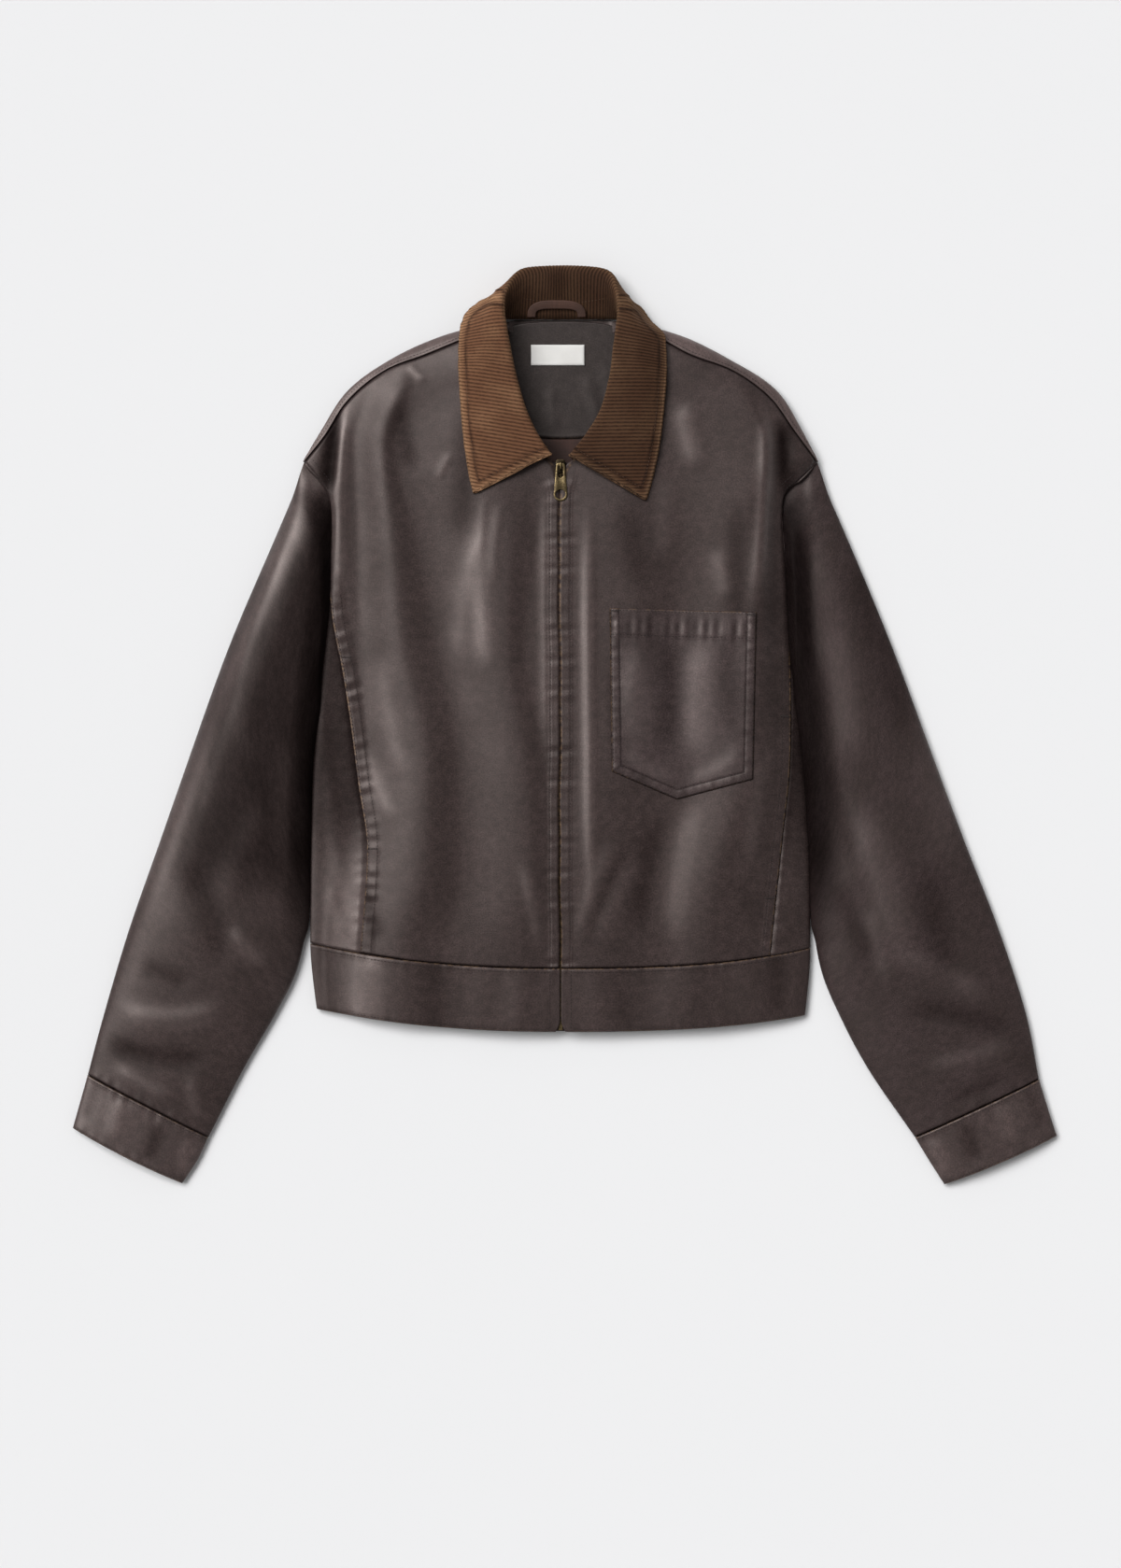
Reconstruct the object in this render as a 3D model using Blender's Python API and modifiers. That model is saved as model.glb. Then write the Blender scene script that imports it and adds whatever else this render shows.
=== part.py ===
"""Zip jacket of coated cotton with a corduroy collar, laid flat on its back.

Sizes are millimetres in the garment's own frame until a mesh is made: x runs across from the centre front,
y runs up from the hem and z rises from the surface that the jacket lies on. The root empty then moves the
whole jacket so that the origin is under the middle of its bounding box.
"""

import math

import bmesh
import bpy
import numpy as np

MM = 0.001

# Walls. The shell is one coated cloth with its turnings; the collar is two layers of corduroy.
CLOTH = 1.5
LINING = 1.0
COLLAR_WALL = 2.4
SEAM_GAP = 0.3
HEM_GAP = 0.5  # from the band's seam line up to the panels
SIDE_GAP = 0.6  # across the pocket seams
SHOULDER_GAP = 1.0  # across the shoulder seams
UNDER_INSET = 1.6  # from a sleeve's fold to the edge of its under layer
TURN_UNDER = 0.098  # how far the top sleeve turns under, as a share of the steps across the underside
TOP_GAP = 1.0  # above the side panels, where the front reaches the armhole
NECK_SEAM_Y = 638.0
SLIT = 0.9  # from the centre line to each front's edge

# How finely the solids are cut. A front and a side panel share the rows along their seam.
FRONT_COLUMNS = 10
NECK_COLUMNS = 4  # on each side of the back neck
BODY_ROWS = 20
SEAM_ROWS = 15
BACK_ROWS = 13
BACK_LEVELS = (0, 0.16, 0.32, 0.468, 0.523, 0.603, 0.76, 0.91, 1)  # shares of the lying part's height

ROUND = 55.0  # how far in from an edge the front is still rounding over
FLAT_RIM = 5.0  # height of the widest point of a folded side
LEAST_TUCK = 0.35  # how far a side panel still turns under above the underarm
BACK_INSET = 1.7  # from the outline to the back's edge at the armholes
NECK_DROP = 18.0  # how far below the shoulder folds the back starts to lie flat at the neck
RIM_SHARE = 0.45  # share of the steps over a shoulder that rise from the surface to its fold
TOP_SHARE = 0.6  # share of the steps round a sleeve or cuff that lie on its upper side
ROOT_SHIFT = (-3.75, -273.87, 0.0)  # from the garment's own frame to the middle of its box


def table(columns, *rows):
    """A table as one array for each named column."""
    return dict(zip(columns.split(), np.array(rows, float).T))


# The outline of the body, from the hem up each folded side and armhole to the shoulder point.
LEFT_SIDE = table(
    "x y",
    (-216, -10),
    (-220, 22),
    (-224, 78),
    (-224, 150),
    (-223, 233),
    (-214, 307),
    (-207, 338),
    (-203.5, 375),
    (-202, 412),
    (-202, 445),
    (-205.5, 470),
    (-214, 488),
    (-230, 511),
)
RIGHT_SIDE = table(
    "x y",
    (217, -10),
    (220, 20),
    (223, 72),
    (221.5, 140),
    (218, 235),
    (211, 307),
    (206, 335),
    (202, 370),
    (199, 412),
    (198.5, 445),
    (201, 468),
    (212, 488),
    (230, 511),
)
UNDERARM = 306.0  # where the folded side ends and the armhole begins

# The fold along the top of each shoulder, from the shoulder point to the neck.
LEFT_SHOULDER = table(
    "x y", (-230, 511), (-214, 538), (-193, 571), (-150, 603), (-111, 621), (-52, 637)
)
RIGHT_SHOULDER = table(
    "x y", (230, 511), (216, 538), (196, 571), (149, 603), (113, 621), (56, 637)
)
# The shoulder seam lies on the front, a little below that fold.
LEFT_SHOULDER_SEAM = table(
    "x y", (-227, 507), (-212, 531), (-192, 562), (-157, 591), (-120, 605), (-91, 617), (-58.1, 629.2)
)
RIGHT_SHOULDER_SEAM = table(
    "x y", (227, 507), (209, 537), (188, 566), (155, 590), (113, 606), (93, 617), (62.1, 629.2)
)
# Seams between each front and its side panel. The pocket mouth lies in the lower part.
LEFT_POCKET_SEAM = table(
    "x y", (-179, 73), (-173, 165), (-181, 225), (-188, 287), (-195, 337), (-195.5, 370), (-195, 402)
)
RIGHT_POCKET_SEAM = table(
    "x y", (187, 68), (192, 117), (200, 183), (203, 245), (203, 281), (201.5, 318), (199, 342)
)
ZIP_TOP = ((0.9, 486), (5.0, 495), (5.3, 503))  # where the fronts part to make room for the slider

# How far the band's foot and its seam curve up at the sides of the body.
BAND_FOOT = 0.5
BAND_SEAM = 57.2
BAND_RISE = table("foot seam power", (21, 21.5, 2.2), (15, 17.5, 2.7))
HALF_WIDTH = 222.0

# Crown of the front above the surface, at each height on the body.
CROWN = table("y z", (-10, 13.5), (30, 15), (70, 17.5), (150, 22), (300, 25), (450, 26), (560, 24), (650, 21))
# Height of the outline itself: low at the folded sides, higher at the armholes.
RIM = table("y z", (-10, 5), (250, 5), (310, 6), (400, 8), (470, 9), (515, 9), (560, 7), (650, 6))

# The large soft folds of the fronts, each a ridge from its top to its foot with unequal flanks.
FRONT_FOLDS = table(
    "top_x top_y foot_x foot_y bow height left_flank right_flank",
    (-185, 560, -183, 300, 8, 2.5, 12, 26),
    (-148, 590, -122, 70, -12, 4.2, 42, 48),
    (-45, 500, -26, 110, -12, 4.0, 58, 24),
    (42, 500, 32, 90, 9, 3.8, 26, 46),
    (172, 470, 118, 80, 16, 4.0, 44, 52),
    (188, 575, 188, 420, 4, 3.0, 26, 14),
    (130, 560, 128, 420, 0, 1.8, 22, 30),
)

# Sleeves: sections from the armhole to the cuff seam, each from the outer fold to the inner fold.
LEFT_SLEEVE = table(
    "outer_x outer_y inner_x inner_y height bow",
    (-231, 512, -215, 306, 15, 0),
    (-262, 435, -225, 236, 19, 0),
    (-295, 352, -226, 165, 21, 0),
    (-328, 258, -227, 105, 21, 0),
    (-358, 172, -235, 58, 20, 0),
    (-386, 92, -254, 18, 18, 0),
    (-408, 18, -283, -32, 16, 0),
    (-423, -38, -315, -94, 14, 0),
)
RIGHT_SLEEVE = table(
    "outer_x outer_y inner_x inner_y height bow",
    (231, 512, 212, 306, 15, 0),
    (263, 435, 221, 236, 19, 0),
    (295, 352, 224.5, 165, 21, 0),
    (329, 258, 226, 105, 21, 0),
    (361, 172, 233, 56, 20, 0),
    (392, 92, 251, 12, 18, 0),
    (416, 18, 277, -36, 16, 0),
    (428, -42, 317, -94, 14, 0),
)
LEFT_CUFF = table(
    "outer_x outer_y inner_x inner_y height bow",
    (-423.2, -38.6, -315.3, -94.6, 14, 0),
    (-430, -63, -325, -115, 13, 2.5),
    (-436.5, -86, -338.5, -135.5, 12, 4.5),
)
RIGHT_CUFF = table(
    "outer_x outer_y inner_x inner_y height bow",
    (428.2, -42.6, 317.3, -94.6, 14, 0),
    (436, -68, 331, -117, 13, 2.5),
    (444, -93, 343.5, -136.5, 12, 4.5),
)

# Collar sections from the right front, round the back of the neck, to the left front. The seam is at the
# neck, the crest is where the collar rolls over and the edge is the end of the fall. roll is the radius
# of the crest.
COLLAR = table(
    "seam_x seam_y seam_z crest_x crest_y crest_z edge_x edge_y edge_z roll",
    (-10.5, 512, 24, -9, 514.5, 29.5, -77.5, 480, 27, 1.8),
    (-24, 531, 23.5, -21, 532.5, 31.5, -81.5, 499, 27, 3.0),
    (-37, 556, 23, -32, 557, 33.5, -86, 530, 27, 4.0),
    (-46.5, 587, 22.5, -40.5, 587, 34.5, -89, 566, 27, 4.6),
    (-53, 612, 21, -45.5, 612, 35, -90.5, 598, 26, 4.8),
    (-56.5, 628, 18, -49, 632, 34, -89.5, 624, 19, 5.0),
    (-54, 636, 12, -50, 650, 29, -83, 643, 8, 5.0),
    (-44, 638, 7, -45, 668.5, 22, -62, 655, 3.5, 5.0),
    (-28, 638.2, 3.4, -30, 682, 14.5, -34, 649, 2.2, 5.0),
    (3, 638.2, 3.0, 5, 684, 12.5, 5, 645, 2, 5.0),
    (34, 638.2, 3.4, 40, 680.5, 14.5, 42, 649, 2.2, 5.0),
    (48, 638, 7, 49, 664, 22, 70, 652, 3.5, 5.0),
    (57.5, 636, 12, 51, 647, 29, 86, 639, 8, 5.0),
    (60.5, 628, 18, 50, 629, 34, 93, 618, 19, 5.0),
    (57, 612, 21, 47.5, 610, 35, 94, 592, 26, 4.8),
    (50.5, 587, 22.5, 44, 583, 34.5, 92, 560, 27, 4.6),
    (40, 556, 23, 36, 554, 33.5, 88, 525, 27, 4.0),
    (25.5, 531, 23.5, 23, 532, 31.5, 82, 495, 27, 3.0),
    (10.5, 511.5, 24, 8.5, 513.5, 29.5, 76, 474, 27, 1.8),
)
NECK_CENTRE = (2.0, 585.0)
NECK_GAP = 3.2  # from the middle of the collar's wall to the front's edge

# The patch pocket on the wearer's left chest.
POCKET = table("x y", (43.5, 378), (174, 374.5), (171, 226), (103.5, 208), (45.5, 233))

# Hidden pieces that show in the neck opening, and the loop and label sewn on them.
FACING_FOOT = table("x y", (-95, 548), (-40, 535), (0, 531), (44, 535), (99, 548))
FACING_TOP = table(
    "x y",
    (-95, 600),
    (-60, 600),
    (-44, 606),
    (-34, 633),
    (3, 636.5),
    (38, 633),
    (48, 606),
    (64, 600),
    (99, 600),
)
LABEL = {"x": -2.5, "y": 606.0, "width": 48.0, "height": 18.5, "rise": 3.1, "thickness": 0.8}
LOOP = {"left": -26.0, "right": 19.0, "foot": 639.5, "reach": 11.0, "width": 6.5, "thickness": 1.0}

# Zip: tapes under the fronts, the closed chain, the box at its foot, the slider and its pull.
TAPE = {"inner": 2.3, "outer": 15.0, "thickness": 1.0, "foot": 3.0, "top": 508.0}
CHAIN = {"half_width": 2.0, "thickness": 2.2, "foot": 13.0, "top": 502.0}
ZIP_BOX = {"width": 7.0, "foot": 2.0, "length": 10.0, "thickness": 2.6}
SLIDER = {"y": 504.5, "width": 8.6, "length": 12.0, "plate": 1.5, "post": 3.2, "sink": 5.0}
BRIDGE = {"foot": 500.8, "top": 508.6, "bar": 1.2, "width": 2.0, "clear": 3.2}
PULL = {
    "pivot_y": 505.8,
    "length": 33.5,
    "thickness": 1.4,
    "eye_width": 6.8,
    "ring_radius": 6.1,
    "ring_hole": 4.3,
    "slot_width": 3.2,
    "slot_length": 10.5,
    "bar": 2.0,
}

COLOURS = {
    "coated cotton": ((0.055, 0.042, 0.039, 1), 0.45, 0.0),
    "brown corduroy": ((0.120, 0.062, 0.035, 1), 0.9, 0.0),
    "brown lining": ((0.060, 0.030, 0.022, 1), 0.6, 0.0),
    "label satin": ((0.70, 0.69, 0.67, 1), 0.5, 0.0),
    "antique brass": ((0.35, 0.26, 0.12, 1), 0.35, 1.0),
    "zip tape": ((0.020, 0.016, 0.015, 1), 0.85, 0.0),
}


# ---------------------------------------------------------------- curves and heights


def slopes_at(stops, values):
    """Slopes of a smooth curve through the rows that never swings past them."""
    span = np.diff(stops)
    rise = np.diff(values) / span
    before, after = rise[:-1], rise[1:]
    mean = (before * span[1:] + after * span[:-1]) / (span[:-1] + span[1:])
    most = 2.5 * np.minimum(np.abs(before), np.abs(after))
    inner = np.where(before * after > 0, np.sign(mean) * np.minimum(np.abs(mean), most), 0)
    return np.concatenate([rise[:1], inner, rise[-1:]])


def spline(stops, values, at):
    """Values read at positions between stops on a smooth cubic that passes through every row."""
    slopes = slopes_at(stops, values)
    at = np.clip(at, stops[0], stops[-1])
    k = np.clip(np.searchsorted(stops, at) - 1, 0, len(stops) - 2)
    span = stops[k + 1] - stops[k]
    t = (at - stops[k]) / span
    return (
        (2 * t**3 - 3 * t**2 + 1) * values[k]
        + (t**3 - 2 * t**2 + t) * span * slopes[k]
        + (3 * t**2 - 2 * t**3) * values[k + 1]
        + (t**3 - t**2) * span * slopes[k + 1]
    )


def path(rows):
    """A function from 0..1 along the length of a table's x, y line to its points."""
    x, y = rows["x"], rows["y"]
    length = np.concatenate([[0], np.cumsum(np.hypot(np.diff(x), np.diff(y)))])

    def at(t):
        s = np.asarray(t) * length[-1]
        return np.stack([spline(length, x, s), spline(length, y, s)], -1)

    return at


def joined(first, second, share):
    """Two paths end to end, with the join at that share of the whole."""

    def at(t):
        t = np.asarray(t, float)
        before = first(np.clip(t / share, 0, 1))
        after = second(np.clip((t - share) / (1 - share), 0, 1))
        return np.where((t <= share + 1e-6)[..., None], before, after)

    return at


def distance(x, y, rows, samples=40):
    """Distance in plan from points to a table's line."""
    line = path(rows)(np.linspace(0, 1, samples))
    a, b = line[:-1], line[1:]
    run = b - a
    offset = np.stack([x, y], -1)[..., None, :] - a
    share = np.clip((offset * run).sum(-1) / (run * run).sum(-1), 0, 1)
    return np.linalg.norm(offset - share[..., None] * run, axis=-1).min(-1)


def smooth_step(t):
    t = np.clip(t, 0, 1)
    return t * t * (3 - 2 * t)


def fold_height(x, y, folds):
    """The sum of all ridges in a fold table at points in plan."""
    total = np.zeros_like(x)
    for i in range(len(folds["height"])):
        f = {name: column[i] for name, column in folds.items()}
        along = (f["top_y"] - y) / (f["top_y"] - f["foot_y"])
        middle = f["top_x"] + (f["foot_x"] - f["top_x"]) * along
        middle = middle + f["bow"] * 4 * along * (1 - along)
        flank = np.where(x < middle, f["left_flank"], f["right_flank"])
        across = np.clip(np.abs(x - middle) / flank, 0, 1)
        ends = smooth_step(along / 0.25 + 0.2) * smooth_step((1 - along) / 0.25 + 0.2)
        total = total + f["height"] * 0.5 * (1 + np.cos(math.pi * across)) * ends
    return total


def front_height(x, y):
    """Height of the front's outer face, for the body and its band."""
    x, y = np.asarray(x, float), np.asarray(y, float)
    edges = [distance(x, y, rows) for rows in (LEFT_SIDE, RIGHT_SIDE, LEFT_SHOULDER, RIGHT_SHOULDER)]
    softness = 5.0
    inset = -softness * np.log(sum(np.exp(-d / softness) for d in edges))
    rise = np.sqrt(1 - (1 - np.clip(inset / ROUND, 0, 1)) ** 2)
    rim = spline(RIM["y"], RIM["z"], y)
    crown = spline(CROWN["y"], CROWN["z"], y)
    at_zip = smooth_step((np.abs(x) - 7) / 12)
    return rim + (crown - rim) * rise + fold_height(x, y, FRONT_FOLDS) * rise * at_zip


def band_line(x, seam):
    """Height up the body of the band's foot, or of its seam, which both curve up to the sides."""
    side = (np.asarray(x) > 0).astype(int)
    rise = BAND_RISE["seam" if seam else "foot"][side]
    start = BAND_SEAM if seam else BAND_FOOT
    return start + rise * (np.abs(x) / HALF_WIDTH) ** BAND_RISE["power"][side]


# ---------------------------------------------------------------- making solids


def material(name):
    colour, roughness, metallic = COLOURS[name]
    made = bpy.data.materials.get(name) or bpy.data.materials.new(name)
    made.use_nodes = True
    shader = made.node_tree.nodes["Principled BSDF"]
    shader.inputs["Base Color"].default_value = colour
    shader.inputs["Roughness"].default_value = roughness
    shader.inputs["Metallic"].default_value = metallic
    return made


def add_object(name, bm, finish, root, smooth=True):
    mesh = bpy.data.meshes.new(name)
    bm.to_mesh(mesh)
    bm.free()
    mesh.materials.append(material(finish))
    if smooth:
        mesh.shade_smooth()
    made = bpy.data.objects.new(name, mesh)
    bpy.data.collections["Jacket"].objects.link(made)
    made.parent = root
    return made


def grid(columns, rows, place, flip=False, tube=False):
    """A surface: a grid whose points place(u, v) puts in space."""
    bm = bmesh.new()
    bmesh.ops.create_grid(bm, x_segments=columns, y_segments=rows, size=0.5)
    at = np.array([v.co[:2] for v in bm.verts]) + 0.5
    points = place(at[:, 0], at[:, 1]) * MM
    for vertex, point in zip(bm.verts, points):
        vertex.co = point
    if tube:
        bmesh.ops.remove_doubles(bm, verts=bm.verts, dist=0.01 * MM)
    if flip:
        bmesh.ops.reverse_faces(bm, faces=bm.faces)
    return bm


def walled(name, bm, finish, root, wall=CLOTH, offset=-1.0):
    """A surface as a cloth wall with its thickness inwards, or as offset says."""
    made = add_object(name, bm, finish, root)
    thickness = made.modifiers.new("Wall", "SOLIDIFY")
    thickness.thickness = wall * MM
    thickness.offset = offset
    thickness.use_even_offset = True
    return made


def sheet(name, columns, rows, place, finish, root, wall=CLOTH, offset=-1.0, flip=False, tube=False):
    return walled(name, grid(columns, rows, place, flip, tube), finish, root, wall, offset)


def coons(u, v, foot, top, left, right):
    """Points in plan inside four edges, each a path in the direction of growing u or v."""
    u, v = u[:, None], v[:, None]
    a, b = foot(u[:, 0]), top(u[:, 0])
    c, d = left(v[:, 0]), right(v[:, 0])
    corners = (
        (1 - u) * (1 - v) * left(np.zeros(1))
        + u * (1 - v) * right(np.zeros(1))
        + (1 - u) * v * left(np.ones(1))
        + u * v * right(np.ones(1))
    )
    return (1 - v) * a + v * b + (1 - u) * c + u * d - corners


def with_height(plan, lift=0.0):
    return np.column_stack([plan, front_height(plan[:, 0], plan[:, 1]) + lift])


def box(bm, x, y, z):
    """A box between two corners, given as ranges."""
    made = bmesh.ops.create_cube(bm, size=1.0)["verts"]
    for axis, (low, high) in enumerate((x, y, z)):
        for vertex in made:
            vertex.co[axis] = (low + (vertex.co[axis] + 0.5) * (high - low)) * MM
    return made


# ---------------------------------------------------------------- the body


def at_heights(rows, y):
    """Points of a table's line at given heights on the body."""
    return np.stack([spline(rows["y"], rows["x"], y), y + 0 * y], -1)


def between_heights(rows, low, high):
    """The stretch of a table's line between two heights on the body, as a path."""
    y = np.linspace(low, high, 14)
    return path({"x": spline(rows["y"], rows["x"], y), "y": y})


def moved(line, dx, dy=0.0):
    return lambda t: line(t) + np.array([dx, dy])


def neckline(side):
    """The front's neck edge: the collar's seam moved out by the neck gap. side is -1 or 1."""
    rows = slice(0, 6) if side < 0 else slice(-1, -7, -1)
    seam = np.stack([COLLAR["seam_x"][rows], COLLAR["seam_y"][rows]], -1)
    out = seam - np.array(NECK_CENTRE)
    out /= np.linalg.norm(out, axis=1)[:, None]
    return seam + NECK_GAP * out


def front_edge(side):
    """The front's inner edge: up the zip, round the slider and along the neck."""
    zip_foot = (SLIT, float(band_line(0.0, True)) + HEM_GAP)
    points = np.array([zip_foot, (SLIT, 180), (SLIT, 330), *ZIP_TOP]) * [side, 1]
    points = np.concatenate([points, neckline(side)])
    return {"x": points[:, 0], "y": points[:, 1]}


def closer_out(t):
    """0..1 with its steps closer together towards 1, where the cloth rounds over."""
    return 1 - (1 - t) ** 1.4


def front_surface(side, pocket_seam, armhole, shoulder_seam):
    """A front from the band seam to the shoulder seam, between the zip and the side."""
    turn = pocket_seam["y"][-1]
    over = between_heights(armhole, turn, armhole["y"][-1] - 1)
    share = SEAM_ROWS / BODY_ROWS
    outer = joined(path(pocket_seam), lambda t: over(closer_out(t)), share)
    outer = moved(outer, -side * SIDE_GAP / 2)
    inner = path(front_edge(side))
    seam = moved(path(shoulder_seam), -side * SEAM_GAP, -SHOULDER_GAP / 2)
    left, right = (outer, inner) if side < 0 else (inner, outer)

    def top(u):
        return seam(u if side < 0 else 1 - u)

    def foot(u):
        ends = left(np.zeros(1))[0, 0], right(np.zeros(1))[0, 0]
        x = ends[0] + u * (ends[1] - ends[0])
        return np.stack([x, band_line(x, True) + HEM_GAP], -1)

    def place(u, v):
        u = 1 - closer_out(1 - u) if side < 0 else closer_out(u)
        return with_height(coons(u, v, foot, top, left, right))

    return grid(FRONT_COLUMNS, BODY_ROWS, place)


def tucked(y):
    """1 where the side is folded flat, 0 above the underarm."""
    return smooth_step((UNDERARM - y) / 25)


def side_panel(name, side, pocket_seam, armhole, root):
    """The panel behind the pocket seam: it turns under at the folded side and ends at the armhole."""
    seam = moved(path(pocket_seam), side * SIDE_GAP / 2)
    turned = 0.34

    def place(u, v):
        across = 1 - u if side > 0 else u
        inner = seam(v)
        fold = at_heights(armhole, inner[:, 1] + 8 * (1 - v) ** 4)
        psi = np.clip((turned - across) / turned, 0, 1) * math.pi / 2
        psi *= LEAST_TUCK + (1 - LEAST_TUCK) * tucked(fold[:, 1])
        phi = np.clip((across - turned) / (1 - turned), 0, 1) * math.pi / 2
        width = np.abs(inner[:, 0] - fold[:, 0])
        inward = np.where(across < turned, FLAT_RIM * (1 - np.cos(psi)), width * (1 - np.cos(phi)))
        x = fold[:, 0] - side * inward
        foot = band_line(x, True) + HEM_GAP
        start, stop = pocket_seam["y"][0], pocket_seam["y"][-1]
        y = foot + (inner[:, 1] - start) / (stop - start) * (stop - TOP_GAP - foot)
        rim = front_height(fold[:, 0], y)
        z = np.where(across < turned, rim - np.sin(psi) * rim, front_height(x, y))
        return np.column_stack([x, y, z])

    return sheet(name, 8, SEAM_ROWS, place, "coated cotton", root)


def back(root):
    """The back lies on the surface and folds over the shoulders to their seams."""
    lying_share = (len(BACK_LEVELS) - 1) / BACK_ROWS
    neck_share = NECK_COLUMNS / (FRONT_COLUMNS + NECK_COLUMNS)
    seams = path(LEFT_SHOULDER_SEAM), path(RIGHT_SHOULDER_SEAM)
    ends = [seam(np.ones(1))[0] for seam in seams]

    def head(u):
        """Each column's place across, the height of its fold and of its seam, and 1 at the neck."""
        middle = 2 * u - 1
        out = closer_out(np.clip((np.abs(middle) - neck_share) / (1 - neck_share), 0, 1))
        on_seam = np.where((middle < 0)[:, None], seams[0](1 - out), seams[1](1 - out))
        along = np.clip(middle / neck_share, -1, 1)
        # The columns at the neck bunch towards its ends, where the cloth starts to rise.
        across = 0.5 + 0.5 * np.sign(along) * np.abs(along) ** 0.3
        on_neck = ends[0] + across[:, None] * (ends[1] - ends[0])
        seam = np.where((np.abs(along) < 1)[:, None], on_neck, on_seam)
        fold = np.where(
            middle < 0,
            spline(LEFT_SHOULDER["x"], LEFT_SHOULDER["y"], seam[:, 0]),
            spline(RIGHT_SHOULDER["x"][::-1], RIGHT_SHOULDER["y"][::-1], seam[:, 0]),
        )
        neck = smooth_step((1 - np.abs(along)) * 4 / 3)
        return seam[:, 0], fold, seam[:, 1] + SHOULDER_GAP / 2, neck

    def edge(rows, side):
        start = float(band_line(side * HALF_WIDTH, True)) + HEM_GAP

        def at(t):
            y = start + t * (rows["y"][-1] - 3 - start)
            line = at_heights(rows, y)
            line[:, 0] -= side * (BACK_INSET + (FLAT_RIM + SEAM_GAP) * smooth_step((UNDERARM + 30 - y) / 35))
            return line

        return at

    left, right = edge(LEFT_SIDE, -1), edge(RIGHT_SIDE, 1)

    def foot(u):
        low, high = left(np.zeros(1))[0, 0], right(np.zeros(1))[0, 0]
        x = low + u * (high - low)
        return np.stack([x, band_line(x, True) + HEM_GAP], -1)

    def top(u):
        x, fold, _, neck = head(u)
        return np.stack([x, fold - FLAT_RIM - NECK_DROP * neck], -1)

    def place(u, v):
        x, fold, seam, neck = head(u)
        lying = np.interp(v / lying_share, np.linspace(0, 1, len(BACK_LEVELS)), BACK_LEVELS)
        over = np.clip((v - lying_share) / (1 - lying_share), 0, 1)
        flat = coons(u, lying, foot, top, left, right)
        rim = spline(RIM["y"], RIM["z"], fold)
        low = np.clip(over / RIM_SHARE, 0, 1) * math.pi / 2
        high = np.clip((over - RIM_SHARE) / (1 - RIM_SHARE), 0, 1) * math.pi / 2
        y_low = fold - FLAT_RIM * (1 - np.sin(low))
        y_high = fold - (fold - seam) * (1 - np.cos(high))
        y = np.where(over > RIM_SHARE, y_high, y_low)
        z = np.where(over > RIM_SHARE, front_height(x, y_high), rim * (1 - np.cos(low)))
        start = fold - FLAT_RIM - NECK_DROP
        y_neck = start + over * (NECK_SEAM_Y - 0.4 - start)
        y = y * (1 - neck) + y_neck * neck
        z = z * (1 - neck)
        lies = (over <= 0)[:, None]
        return np.where(lies, np.column_stack([flat, 0 * v]), np.column_stack([x, y, z]))

    columns = 2 * (FRONT_COLUMNS + NECK_COLUMNS)
    return sheet("back", columns, BACK_ROWS, place, "coated cotton", root, flip=True)


def hem_band(root):
    """One band from the left front edge, round the back, to the right front edge."""

    def place(u, v):
        y_side = 5 + 70 * v
        left = spline(LEFT_SIDE["y"], LEFT_SIDE["x"], y_side)
        right = spline(RIGHT_SIDE["y"], RIGHT_SIDE["x"], y_side)
        notch = 4.0 * np.clip(1 - v / 0.2, 0, 1) ** 2
        slit = SLIT + notch
        front_share, turn_share = 0.24, 0.05
        # u counts across the left front, its turn, the back, the right turn and the right front.
        stops = np.cumsum([0, front_share, turn_share, 1 - 2 * (front_share + turn_share), turn_share])
        stage = np.clip(np.searchsorted(stops, u, side="right") - 1, 0, 4)
        x, z = np.zeros_like(u), np.zeros_like(u)
        for k, sign, edge in ((0, -1, left), (4, 1, right)):
            t = (u - stops[k]) / front_share
            t = t if k == 0 else 1 - t
            reach = np.abs(edge) - slit
            on = stage == k
            x[on] = (sign * (slit + reach * np.sin(t * math.pi / 2)))[on]
        for k, sign, edge in ((1, -1, left), (3, 1, right)):
            t = (u - stops[k]) / turn_share
            psi = (t if k == 1 else 1 - t) * math.pi / 2
            on = stage == k
            x[on] = (edge - sign * FLAT_RIM * (1 - np.cos(psi)))[on]
            z[on] = (FLAT_RIM * (1 - np.sin(psi)))[on]
        t = (u - stops[2]) / (stops[3] - stops[2])
        on = stage == 2
        x[on] = (left + FLAT_RIM + t * (right - left - 2 * FLAT_RIM))[on]
        foot, seam = band_line(x, False), band_line(x, True)
        y = foot + v * (seam - foot)
        on_front = (stage == 0) | (stage == 4)
        z = np.where(on_front, front_height(x, y), z)
        return np.column_stack([x, y, z])

    return sheet("hem_band", 44, 3, place, "coated cotton", root, flip=True)


# ---------------------------------------------------------------- sleeves and cuffs


def square_width(rows, v, fold, across):
    """How much of a step along a section is square to the sleeve's outer or inner fold."""
    stops = np.linspace(0, 1, len(rows["height"]))
    ends = [
        np.stack([spline(stops, rows[f"{fold}_{axis}"], np.clip(v + step, 0, 1)) for axis in "xy"], -1)
        for step in (-0.02, 0.02)
    ]
    run = ends[1] - ends[0]
    run /= np.linalg.norm(run, axis=1)[:, None]
    return np.abs(across[:, 0] * run[:, 1] - across[:, 1] * run[:, 0])


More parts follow.
